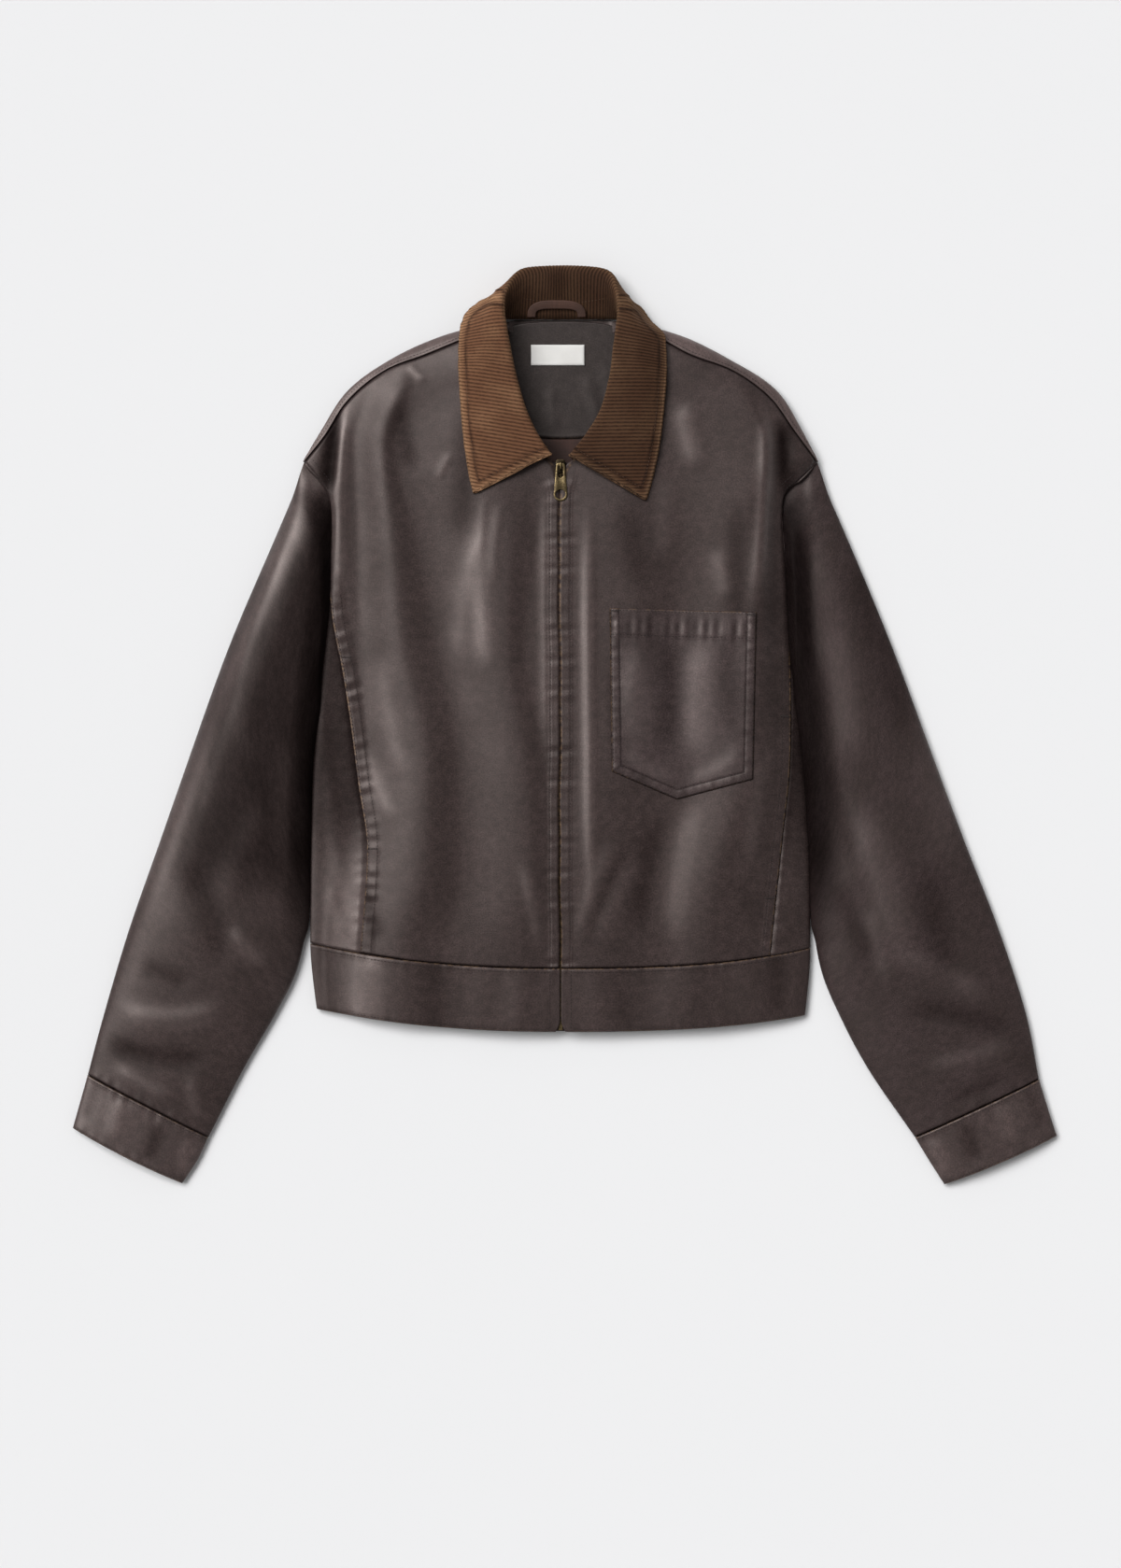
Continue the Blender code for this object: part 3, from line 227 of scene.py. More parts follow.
def coatedCotton(name, look):
    # waxed cotton: a tight plain weave under a wax coat, half matt, with slow cloudy patches and fine slubs
    made, tree, shader = newMaterial(name, Specular_IOR_Level=0.5, IOR=1.47)
    uv = addNode(tree, "ShaderNodeUVMap", {"uv_map": "cloth"})
    mottle = addNode(tree, "ShaderNodeTexNoise", Vector=uv.outputs[0], Scale=1000 / look["mottleSize"],
                     Detail=4.0, Roughness=0.6)
    warp = addNode(tree, "ShaderNodeMapping", Vector=uv.outputs[0],
                   Scale=(1000 / look["slubWidth"], 1000 / look["slubLength"], 1))
    warpNoise = addNode(tree, "ShaderNodeTexNoise", Vector=warp.outputs[0], Scale=1.0, Detail=2.0)
    weft = addNode(tree, "ShaderNodeMapping", Vector=uv.outputs[0],
                   Scale=(1000 / look["slubLength"], 1000 / look["slubWidth"], 1))
    weftNoise = addNode(tree, "ShaderNodeTexNoise", Vector=weft.outputs[0], Scale=1.0, Detail=2.0)
    slub = addNode(tree, "ShaderNodeMath", {"operation": "ADD"}, i0=warpNoise.outputs[0],
                   i1=weftNoise.outputs[0])
    shade = addNode(tree, "ShaderNodeMapRange", Value=mottle.outputs[0], From_Min=0.32, From_Max=0.68)
    base = addNode(tree, "ShaderNodeMix", {"data_type": "RGBA"}, i0=shade.outputs[0])
    base.inputs[6].default_value = hexColour(look["dark"])
    base.inputs[7].default_value = hexColour(look["light"])
    fleck = addNode(tree, "ShaderNodeMapRange", Value=slub.outputs[0], From_Min=1.02, From_Max=1.3,
                    To_Max=0.15)
    bloom = addNode(tree, "ShaderNodeMix", {"data_type": "RGBA"}, i0=fleck.outputs[0], i6=base.outputs[2])
    bloom.inputs[7].default_value = hexColour(look["bloom"])
    grain = addNode(tree, "ShaderNodeTexNoise", Vector=uv.outputs[0], Scale=1000 / look["grainSize"],
                    Detail=3.0, Roughness=0.7)
    specks = addNode(tree, "ShaderNodeMapRange", Value=grain.outputs[0], From_Min=0.4, From_Max=0.6,
                     To_Min=1 - look["grainShare"], To_Max=1 + look["grainShare"])
    rubbed = addNode(tree, "ShaderNodeTexNoise", Vector=uv.outputs[0], Scale=1000 / look["rubSize"],
                     Detail=3.0, Roughness=0.6)
    clouds = addNode(tree, "ShaderNodeMapRange", Value=rubbed.outputs[0], From_Min=0.35, From_Max=0.65,
                     To_Min=1 - look["rubShare"], To_Max=1 + look["rubShare"])
    uneven = addNode(tree, "ShaderNodeMath", {"operation": "MULTIPLY"}, i0=specks.outputs[0],
                     i1=clouds.outputs[0])
    # painted shade and light: a value per point that darkens the cloth's colour in valleys, along seams and
    # on shaded sides, and lightens it on ridges and lit places
    wax = addNode(tree, "ShaderNodeAttribute", {"attribute_name": "wax"})
    paintedShadeScale = addNode(tree, "ShaderNodeMath", {"operation": "POWER"}, i0=look["paintedShadeKept"], i1=wax.outputs["Fac"])
    tone = addNode(tree, "ShaderNodeMath", {"operation": "MULTIPLY"}, i0=uneven.outputs[0],
                   i1=paintedShadeScale.outputs[0])
    toned = addNode(tree, "ShaderNodeMix", {"data_type": "RGBA", "blend_type": "MULTIPLY"}, i0=1.0,
                    i6=bloom.outputs[2], i7=tone.outputs[0])
    # the specular level is painted with it: lowered under the painted shade, raised under the painted light
    shine = addNode(tree, "ShaderNodeMath", {"operation": "POWER"}, i0=0.04, i1=wax.outputs["Fac"])
    lit = addNode(tree, "ShaderNodeMath", {"operation": "MULTIPLY", "use_clamp": True}, i0=shine.outputs[0],
                  i1=0.5)
    tree.links.new(lit.outputs[0], shader.inputs["Specular IOR Level"])
    wear = addNode(tree, "ShaderNodeAttribute", {"attribute_name": "wear"})
    wornNoise = addNode(tree, "ShaderNodeTexNoise", Vector=uv.outputs[0], Scale=1000 / 4.0, Detail=3.0)
    wornEdge = addNode(tree, "ShaderNodeMapRange", Value=wornNoise.outputs[0], From_Min=0.40, From_Max=0.62)
    wornAmount = addNode(tree, "ShaderNodeMath", {"operation": "MULTIPLY"}, i0=wear.outputs["Fac"],
                         i1=wornEdge.outputs[0])
    worn = addNode(tree, "ShaderNodeMix", {"data_type": "RGBA"}, i0=wornAmount.outputs[0],
                   i6=toned.outputs[2])
    worn.inputs[7].default_value = hexColour(look["worn"])
    tree.links.new(worn.outputs[2], shader.inputs["Base Color"])
    low, high = look["roughness"]
    gloss = addNode(tree, "ShaderNodeMapRange", Value=mottle.outputs[0], From_Min=0.3, From_Max=0.7,
                    To_Min=high, To_Max=low)
    tree.links.new(gloss.outputs[0], shader.inputs["Roughness"])
    rough = addNode(tree, "ShaderNodeMath", {"operation": "ADD"}, i0=slub.outputs[0], i1=grain.outputs[0])
    bump = addNode(tree, "ShaderNodeBump", Height=rough.outputs[0], Distance=look["weaveDepth"] * mm,
                   Strength=0.8)
    tree.links.new(bump.outputs[0], shader.inputs["Normal"])
    shader.inputs["Specular Tint"].default_value = hexColour(look["shine"])
    return made


corduroyLook = {
    "ridge": "664632",
    "valley": "1e100a",
    "worn": "987557",
    "wale": 3.2,  # mm, about 8 wales an inch
    # how much of its colour the collar keeps under the painted shade
    "paintedShadeLevel": 0.42,
    "roughness": 0.85,
}


def corduroy(name, look):
    # cotton corduroy: cut pile in round cords, soft sheen on the pile, rubbed lighter on the cords' tops
    made, tree, shader = newMaterial(name, Roughness=look["roughness"], Specular_IOR_Level=0.14,
                                     Sheen_Weight=0.3, Sheen_Roughness=0.45)
    shader.inputs["Sheen Tint"].default_value = hexColour("b08a68")
    cord = addNode(tree, "ShaderNodeAttribute", {"attribute_name": "cord"})
    uv = addNode(tree, "ShaderNodeUVMap", {"uv_map": "cloth"})
    tuft = addNode(tree, "ShaderNodeMapping", Vector=uv.outputs[0], Scale=(1000 / 0.9, 1000 / 2.2, 1))
    tuftNoise = addNode(tree, "ShaderNodeTexNoise", Vector=tuft.outputs[0], Scale=1.0, Detail=3.0,
                        Roughness=0.65)
    patch = addNode(tree, "ShaderNodeTexNoise", Vector=uv.outputs[0], Scale=1000 / 28, Detail=3.0)
    mixed = addNode(tree, "ShaderNodeMath", {"operation": "MULTIPLY_ADD"}, i0=tuftNoise.outputs[0], i1=0.9,
                    i2=-0.45)
    height = addNode(tree, "ShaderNodeMath", {"operation": "ADD"}, i0=mixed.outputs[0],
                     i1=cord.outputs["Fac"])
    clamped = addNode(tree, "ShaderNodeMapRange", Value=height.outputs[0], From_Min=0.05, From_Max=1.0)
    # the cords' grooves are darker and their tops lighter: partly the pile's own colour, partly painted shade
    # in the grooves
    base = addNode(tree, "ShaderNodeMix", {"data_type": "RGBA"}, i0=clamped.outputs[0])
    base.inputs[6].default_value = hexColour(look["valley"])
    base.inputs[7].default_value = hexColour(look["ridge"])
    wear = addNode(tree, "ShaderNodeAttribute", {"attribute_name": "wear"})
    rubbed = addNode(tree, "ShaderNodeMapRange", Value=patch.outputs[0], From_Min=0.45, From_Max=0.75,
                     To_Max=0.35)
    rub = addNode(tree, "ShaderNodeMath", {"operation": "ADD"}, i0=wear.outputs["Fac"], i1=rubbed.outputs[0])
    rubHigh = addNode(tree, "ShaderNodeMath", {"operation": "MULTIPLY"}, i0=rub.outputs[0],
                      i1=clamped.outputs[0])
    worn = addNode(tree, "ShaderNodeMix", {"data_type": "RGBA"}, i0=rubHigh.outputs[0], i6=base.outputs[2])
    worn.inputs[7].default_value = hexColour(look["worn"])
    # painted light and shade for how the leaning pile catches the light: the wearer's right fall, facing the
    # key light, is lightened, the left fall and the stand darkened
    nap = addNode(tree, "ShaderNodeAttribute", {"attribute_name": "nap"})
    paintedSideScale = addNode(tree, "ShaderNodeMapRange", Value=nap.outputs["Fac"], To_Min=look["paintedShadeLevel"],
                   To_Max=1.35)
    paintedSideLit = addNode(tree, "ShaderNodeMix", {"data_type": "RGBA", "blend_type": "MULTIPLY"}, i0=1.0,
                     i6=worn.outputs[2], i7=paintedSideScale.outputs[0])
    tree.links.new(paintedSideLit.outputs[2], shader.inputs["Base Color"])
    bump = addNode(tree, "ShaderNodeBump", Height=tuftNoise.outputs[0], Distance=0.25 * mm, Strength=0.6)
    tree.links.new(bump.outputs[0], shader.inputs["Normal"])
    return made


def wovenCloth(name, light, dark, thread, roughness, sheen=0.0):
    # a plain woven cloth with threads of that spacing in mm, drawn as coarse as they need to show
    made, tree, shader = newMaterial(name, Roughness=roughness, Specular_IOR_Level=0.4, Sheen_Weight=sheen)
    uv = addNode(tree, "ShaderNodeUVMap", {"uv_map": "cloth"})
    across = addNode(tree, "ShaderNodeTexWave", {"bands_direction": "X"}, Vector=uv.outputs[0],
                     Scale=314 / thread, Distortion=1.5)
    down = addNode(tree, "ShaderNodeTexWave", {"bands_direction": "Y"}, Vector=uv.outputs[0],
                   Scale=314 / thread, Distortion=1.5)
    weave = addNode(tree, "ShaderNodeMath", {"operation": "MULTIPLY"}, i0=across.outputs[1],
                    i1=down.outputs[1])
    cloud = addNode(tree, "ShaderNodeTexNoise", Vector=uv.outputs[0], Scale=1000 / 22, Detail=4.0)
    shade = addNode(tree, "ShaderNodeMath", {"operation": "MULTIPLY_ADD"}, i0=weave.outputs[0], i1=0.35,
                    i2=cloud.outputs[0])
    amount = addNode(tree, "ShaderNodeMapRange", Value=shade.outputs[0], From_Min=0.35, From_Max=0.9)
    base = addNode(tree, "ShaderNodeMix", {"data_type": "RGBA"}, i0=amount.outputs[0])
    base.inputs[6].default_value, base.inputs[7].default_value = hexColour(dark), hexColour(light)
    tree.links.new(base.outputs[2], shader.inputs["Base Color"])
    bump = addNode(tree, "ShaderNodeBump", Height=weave.outputs[0], Distance=0.08 * mm, Strength=0.5)
    tree.links.new(bump.outputs[0], shader.inputs["Normal"])
    return made


def antiqueBrass(name, light, dark):
    # die-cast zinc with an antique brass finish: yellow metal rubbed bright on its edges, brown in
    # its hollows
    made, tree, shader = newMaterial(name, Metallic=1.0)
    at = addNode(tree, "ShaderNodeTexCoord")
    patina = addNode(tree, "ShaderNodeTexNoise", Vector=at.outputs["Object"], Scale=1000 / 3.0, Detail=4.0,
                     Roughness=0.7)
    amount = addNode(tree, "ShaderNodeMapRange", Value=patina.outputs[0], From_Min=0.35, From_Max=0.65)
    base = addNode(tree, "ShaderNodeMix", {"data_type": "RGBA"}, i0=amount.outputs[0])
    base.inputs[6].default_value, base.inputs[7].default_value = hexColour(dark), hexColour(light)
    tree.links.new(base.outputs[2], shader.inputs["Base Color"])
    rough = addNode(tree, "ShaderNodeMapRange", Value=patina.outputs[0], From_Min=0.3, From_Max=0.7,
                    To_Min=0.48, To_Max=0.28)
    tree.links.new(rough.outputs[0], shader.inputs["Roughness"])
    bump = addNode(tree, "ShaderNodeBump", Height=patina.outputs[0], Distance=0.05 * mm, Strength=0.4)
    tree.links.new(bump.outputs[0], shader.inputs["Normal"])
    return made


def twistedThread(name, light, dark):
    # corespun polyester sewing thread: a tight twist with a faint shine
    made, tree, shader = newMaterial(name, Roughness=0.55, Specular_IOR_Level=0.4)
    at = addNode(tree, "ShaderNodeTexCoord")
    ply = addNode(tree, "ShaderNodeTexNoise", Vector=at.outputs["Object"], Scale=1000 / 0.8, Detail=1.0)
    base = addNode(tree, "ShaderNodeMix", {"data_type": "RGBA"}, i0=ply.outputs[0])
    base.inputs[6].default_value, base.inputs[7].default_value = hexColour(dark), hexColour(light)
    tree.links.new(base.outputs[2], shader.inputs["Base Color"])
    return made


finishes = {
    "cotton": coatedCotton("waxed coated cotton", cottonLook),
    "pocket": coatedCotton("waxed cotton, pocket", {**cottonLook, "light": "413636", "dark": "2e2424"}),
    "band": coatedCotton("waxed cotton, straight grain", {**cottonLook, "mottleSize": 38}),
    "sleeveRight": coatedCotton("waxed cotton, right sleeve", cottonLook),
    # painted shade: the wearer's left sleeve, on the side away from the key light, gets a darker copy of the
    # cotton
    "sleeveLeft": coatedCotton("waxed cotton, left sleeve", {**cottonLook, "light": "382d2d"}),
    # the facing's cotton is darker: partly its own greyer tone, partly painted shade for the neck opening
    # under the collar
    "facing": coatedCotton("waxed cotton facing", {**cottonLook, "light": "302a29", "dark": "1f1a1a"}),
    "corduroy": corduroy("brown corduroy", corduroyLook),
    "lining": wovenCloth("brown taffeta lining", "452c25", "2c1b16", 1.2, 0.75),
    "loop": wovenCloth("brown cotton tape loop", "54392e", "35231c", 1.2, 0.7),
    "label": wovenCloth("white satin label", "efedea", "dedcd8", 0.9, 0.4),
    "tape": wovenCloth("brown woven zip tape", "2e2220", "1d1513", 1.0, 0.8),
    "brass": antiqueBrass("antique brass", "92805c", "43382a"),
    "slider": antiqueBrass("blackened brass", "4d4231", "1d1813"),
    "thread": twistedThread("dark brown thread", "2c2220", "191210"),
    "corduroyThread": twistedThread("brown thread", "5a3f2d", "3a271b"),
}
print("materials made")


def finishPiece(piece, finish, nodes=(), body="jacket"):
    piece.data.materials.append(finishes[finish])
    bpy.context.scene.collection.objects.link(piece)
    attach(piece, body)
    if nodes:
        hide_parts(*nodes)
    return piece


def clothPiece(name, columns, rows, surface, finish, nodes, wall=1.5, flip=False, offset=-1.0,
               weld=0.0):
    # surface(u, v) gives points in mm, the flat place of each point on its own cloth in mm, and named values
    bm = bmesh.new()
    bmesh.ops.create_grid(bm, x_segments=columns, y_segments=rows, size=0.5)
    at = np.array([v.co[:2] for v in bm.verts]) + 0.5
    points, flat, values = surface(at[:, 0], at[:, 1])
    world = place(points)
    for vertex, point in zip(bm.verts, world):
        vertex.co = point
    if flip:
        bmesh.ops.reverse_faces(bm, faces=bm.faces)
    mesh = bpy.data.meshes.new(name)
    bm.to_mesh(mesh)
    bm.free()
    corner = np.zeros(len(mesh.loops), int)
    mesh.loops.foreach_get("vertex_index", corner)
    layer = mesh.uv_layers.new(name="cloth")
    layer.data.foreach_set("uv", (flat[corner] * mm).astype(np.float32).ravel())
    for label, value in values.items():
        stored = mesh.attributes.new(label, "FLOAT", "POINT")
        stored.data.foreach_set("value", np.asarray(value, np.float32))
    if weld:
        welder = bmesh.new()
        welder.from_mesh(mesh)
        bmesh.ops.remove_doubles(welder, verts=welder.verts, dist=weld * mm)
        welder.to_mesh(mesh)
        welder.free()
    mesh.shade_smooth()
    piece = bpy.data.objects.new(name, mesh)
    thick = piece.modifiers.new("Wall", "SOLIDIFY")
    thick.thickness = wall * mm
    thick.offset = offset
    return finishPiece(piece, finish, nodes)


def gridSteps(stops, t):  # turns even steps 0..1 into uneven ones, from (share of steps, place) pairs
    stops = np.array(stops, float)
    return np.interp(t, stops[:, 0], stops[:, 1])


def coons(u, v, foot, top, left, right):
    a, b, c, d = foot(u), top(u), left(v), right(v)
    u, v = u[:, None], v[:, None]
    corners = (
        (1 - u) * (1 - v) * left(np.zeros(1))
        + u * (1 - v) * right(np.zeros(1))
        + (1 - u) * v * left(np.ones(1))
        + u * v * right(np.ones(1))
    )
    return (1 - v) * a + v * b + (1 - u) * c + u * d - corners


body = {
    "hemGap": 0.5,
    "sideGap": 0.6,
    "shoulderLap": 2.5,  # how far the fronts go in below the back's strip
    "slit": 0.5,  # from the zip's middle to each front's edge
    "roundLeft": 9,  # how far in from each edge the front is still rounding over
    "roundRight": 34,
    "roundTop": 45,
    "flatRim": 5,  # height of the widest point of a folded side
    "underarm": 306,
    "halfWidth": 222,
    "bandFoot": 0.5,
    "bandSeam": 57.2,
    "neckSeam": 638,
    "wall": 1.5,
}
leftSide = tableOf(
    "x y", (-216, -10), (-220, 22), (-224, 78), (-224, 150), (-223, 233), (-219, 288), (-213.5, 335),
    (-209, 371), (-206.5, 392), (-205.5, 425), (-204.5, 455), (-205.5, 474), (-210, 485), (-230, 511),
)
rightSide = tableOf(
    "x y", (217, -10), (220, 20), (223.5, 72), (223.5, 125), (221.5, 190), (218, 245), (212.5, 304),
    (206, 342),
    (203, 385), (200, 430), (197.8, 465), (198.5, 477), (203, 484.5), (214, 494), (230, 511),
)
leftShoulder = tableOf("x y", (-230, 511), (-214, 538), (-193, 571), (-150, 603), (-111, 621), (-52, 637))
rightShoulder = tableOf("x y", (230, 511), (216, 538), (196, 571), (149, 603), (113, 621), (56, 637))
leftShoulderSeam = tableOf(
    "x y", (-229.4, 509.6), (-212, 531), (-192, 562), (-157, 591), (-120, 605), (-91, 617), (-58.1, 629.2)
)
rightShoulderSeam = tableOf(
    "x y", (229.4, 509.6), (209, 537), (188, 566), (155, 590), (113, 606), (93, 617), (62.1, 629.2)
)
leftPocketSeam = tableOf(
    "x y", (-179, 73), (-173, 165), (-181, 225), (-189, 287), (-196.5, 333), (-200.5, 352), (-204, 372),
    (-206, 390)
)
rightPocketSeam = tableOf(
    "x y", (187, 68), (192, 117), (199, 183), (203.7, 225), (205.3, 281), (205.2, 318), (204.8, 340)
)
zipTop = ((0.9, 486), (5.0, 495), (5.3, 503))
bandRise = tableOf("foot seam power", (21, 21.5, 2.2), (15, 17.5, 2.7))
rimHeight = tableOf("y z", (-10, 5), (250, 5), (310, 6), (400, 8), (470, 9), (515, 9), (560, 7), (650, 6))
# cross-sections of the front from the right side seam to the left one, each knot a crest or a foot of a fold:
# a and b the low strip by the side seam, c the long fold, d its trough, e and f by the zip, g past the zip,
# h the trough, i the fold beside the pocket, j the left side
frontSections = tableOf(
    "y aX aZ bX bZ cX cZ dX dZ eX eZ fX fZ gX gZ hX hZ iX iZ jX jZ",
    (5, -214, 8, -206, 8.5, -136, 15.6, -100, 13.6, -40, 15.4, -8, 14.2, 34, 15.2, 90, 13.8, 130, 15, 208,
     12),
    (70, -215, 7, -209, 7.5, -136, 18.8, -100, 16, -38, 19, -8, 17.5, 34, 19.2, 90, 16.6, 132, 19.6, 208, 13),
    (142, -215, 7, -198, 7.5, -122, 22, -88, 17, -26, 23.4, -8, 21.4, 34, 24, 95, 19.6, 141, 25.8, 207, 15),
    (238, -212, 8, -182, 8.4, -118, 22.4, -90, 18, -31, 26.4, -12, 24, 42, 27.4, 108, 22.6, 166, 28.6, 209,
     17),
    (347, -202, 9.5, -184, 9.7, -139, 20.8, -110, 17.2, -47, 27.4, -30, 25.2, 66, 28.8, 101, 23.8, 172, 29.6,
     200, 20),
    (443, -197, 11.5, -184, 11.7, -149, 21.6, -128, 18.6, -46, 29, -19, 25.9, 56, 29, 110, 24.6, 178, 28.4,
     195, 20),
    (525, -195, 13.5, -186, 13.7, -157, 21.4, -147, 19.4, -72, 26, -12, 24.8, 46, 26, 100, 22.6, 181, 24.6,
     193, 18),
    (575, -186, 15, -176, 15.4, -142, 20.8, -130, 19.6, -66, 23.8, -10, 23.4, 44, 23.8, 98, 21.6, 160, 21.8,
     186, 17),
)
# smaller creases on the fronts and the band: ridges are positive, troughs negative
frontCreases = tableOf(
    "fromX fromY toX toY bow height left right",
    (-192, 560, -195, 400, 3, 1.6, 5, 7),
    (-200, 562, -207, 482, 0, -3.2, 5, 8),
    (198, 545, 200, 480, 0, -2.6, 8, 5),
    (122, 205, 104, 80, 4, 0.9, 12, 16),
    (24, 450, 27, 130, 0, 1.6, 4.5, 5.5),
    (-74, 450, -66, 325, 0, 1.2, 8, 9),
    (-13, 480, -12, 250, 1, 0.8, 9, 5),
    (88, 190, 70, 90, 3, -0.9, 10, 12),
    (110, 560, 123, 505, 1, 1.1, 8, 10),
    (183, 560, 172, 385, -3, 1.2, 7, 6),
    (160, 470, 158, 330, 0, -0.7, 12, 10),
    (-136, 597, -121, 581, 1, 0.9, 3, 4),
    (-97, 516, -109, 494, 1, 0.45, 3, 4),
    (-140, 560, -128, 500, 2, -0.8, 8, 10),
    (-72, 560, -84, 430, 4, -0.7, 9, 12),
    (-80, 430, -90, 330, 2, 0.5, 7, 9),
    (-54, 470, -60, 400, 2, 0.5, 4, 5),
    (-68, 475, -70, 425, 1, 0.4, 3, 4),
    (17, 83, 47, 172, -3, 0.6, 7, 10),
    (32, 80, 74, 160, -3, 0.5, 7, 10),
    (24, 76, 60, 168, -4, -0.5, 6, 8),
    (-20, 76, -34, 150, 2, 0.7, 5, 6),
    (-160, 330, -140, 230, 4, 0.6, 8, 10),
    (-172, 250, -150, 190, 2, 0.7, 6, 8),
    (-176, 130, -160, 80, 2, -0.8, 7, 8),
    (52, 330, 58, 240, 1, -0.6, 8, 9),
    (180, 250, 168, 150, 2, 0.6, 8, 8),
    (140, 430, 150, 386, 0, 0.6, 7, 9),
    (60, 470, 76, 395, 2, -0.5, 10, 12),
    (95, 495, 92, 420, 1, 0.5, 9, 9),
)


def sectionHeight(x, y):
    at = {name: spline(frontSections["y"], column, y) for name, column in frontSections.items()}
    total = at["aZ"]
    for near, far in zip("abcdefghi", "bcdefghij"):
        share = (x - at[near + "X"]) / (at[far + "X"] - at[near + "X"])
        total = total + (at[far + "Z"] - at[near + "Z"]) * smoothStep(share)
    return total


def frontHeight(x, y, creased=True):
    x, y = np.asarray(x, float), np.asarray(y, float)
    edges = ((leftSide, "roundLeft"), (rightSide, "roundRight"), (leftShoulder, "roundTop"),
             (rightShoulder, "roundTop"))
    inset = [nearest(x, y, lineOf(rows))[0] / body[size] for rows, size in edges]
    softness = 0.09
    inset = -softness * np.log(sum(np.exp(-d / softness) for d in inset))
    rise = np.sqrt(1 - (1 - np.clip(inset, 0, 1)) ** 2)
    rim = spline(rimHeight["y"], rimHeight["z"], y)
    height = rim + (sectionHeight(x, y) - rim) * rise
    if creased:
        offZip = smoothStep((np.abs(x) - 4) / 10)
        height = height + creaseHeight(x, y, frontCreases) * smoothStep(inset * 2) * offZip
    return height


def bandLine(x, seam):
    side = (np.asarray(x) > 0).astype(int)
    rise = bandRise["seam" if seam else "foot"][side]
    start = body["bandSeam"] if seam else body["bandFoot"]
    return start + rise * (np.abs(x) / body["halfWidth"]) ** bandRise["power"][side]


def atHeights(rows, y):
    return np.stack([spline(rows["y"], rows["x"], y), y + 0 * y], -1)


def betweenHeights(rows, low, high):
    y = np.linspace(low, high, 60)
    return path({"x": spline(rows["y"], rows["x"], y), "y": y})


def moved(line, dx, dy=0.0):
    return lambda t: line(t) + np.array([dx, dy])


def closerOut(t):
    return 1 - (1 - t) ** 1.4


collarRows = tableOf(
    "seamX seamY seamZ crestX crestY crestZ edgeX edgeY edgeZ roll",
    (-10.5, 512, 24, -9, 514.5, 29.5, -77.5, 480, 27, 1.8),
    (-24, 531, 23.5, -21, 532.5, 31.5, -81.5, 499, 27, 3.0),
    (-37, 556, 23, -32, 557, 33.5, -86, 530, 27, 4.0),
    (-46.5, 587, 22.5, -40.5, 587, 34.5, -89, 566, 27, 4.6),
    (-53, 612, 21, -45.5, 612, 35, -90.5, 598, 26, 4.8),
    (-56.5, 628, 18, -49, 632, 34, -89.5, 624, 19, 5.0),
    (-54, 636, 12, -50, 650, 29, -83, 643, 8, 5.0),
    (-44, 638, 7, -45, 668.5, 22, -62, 655, 3.5, 5.0),
    (-28, 638.2, 3.4, -30, 682, 14.5, -34, 649, 2.2, 5.0),
    (3, 638.2, 3.0, 5, 684, 12.5, 5, 645, 2, 5.0),
    (34, 638.2, 3.4, 40, 680.5, 14.5, 42, 649, 2.2, 5.0),
    (48, 638, 7, 49, 664, 22, 66, 650, 3.5, 5.0),
    (57.5, 636, 12, 51, 647, 29, 81, 634, 8, 5.0),
    (60.5, 628, 18, 50, 629, 34, 93, 618, 19, 5.0),
    (57, 612, 21, 47.5, 610, 35, 94, 592, 26, 4.8),
    (50.5, 587, 22.5, 44, 583, 34.5, 92, 560, 27, 4.6),
    (40, 556, 23, 36, 554, 33.5, 88, 525, 27, 4.0),
    (25.5, 531, 23.5, 23, 532, 31.5, 82, 495, 27, 3.0),
    (10.5, 511.5, 24, 8.5, 513.5, 29.5, 76, 474, 27, 1.8),
)
neckCentre = np.array([2.0, 585.0])
neckGap = 3.2


def zipWave(y):  # the slit isn't quite straight
    return -0.5 + 0.5 * np.sin(y / 37) + 0.3 * np.sin(y / 13 + 1)


def neckline(side):
    rows = slice(0, 6) if side < 0 else slice(-1, -7, -1)
    seam = np.stack([collarRows["seamX"][rows], collarRows["seamY"][rows]], -1)
    out = seam - neckCentre
    out /= np.linalg.norm(out, axis=1)[:, None]
    return seam + neckGap * out


def frontEdge(side):
    zipFoot = (body["slit"], float(bandLine(0.0, True)) + body["hemGap"])
    points = np.array([zipFoot, (body["slit"], 180), (body["slit"], 330), *zipTop]) * [side, 1]
    points = np.concatenate([points, neckline(side)])
    return {"x": points[:, 0], "y": points[:, 1]}


frontPiece = {
    "columns": 104,
    "rows": 236,
    "zipSeam": {"stitch": (8.5,), "raise": 0.45, "groove": 0.4, "pucker": 0.75, "reach": 7,
                "lengths": (9, 13.5, 21), "seed": 3},
    "rightSeam": {"stitch": (1.4, 9.6), "raise": 0.8, "groove": 0.3, "pucker": 0.85, "reach": 6,
                  "lengths": (10.5, 14, 19), "seed": 11},
    "leftSeam": {"stitch": (7.2,), "raise": 0.4, "groove": 0.3, "pucker": 0.35, "reach": 7,
                 "lengths": (12, 17, 29), "seed": 17},
}


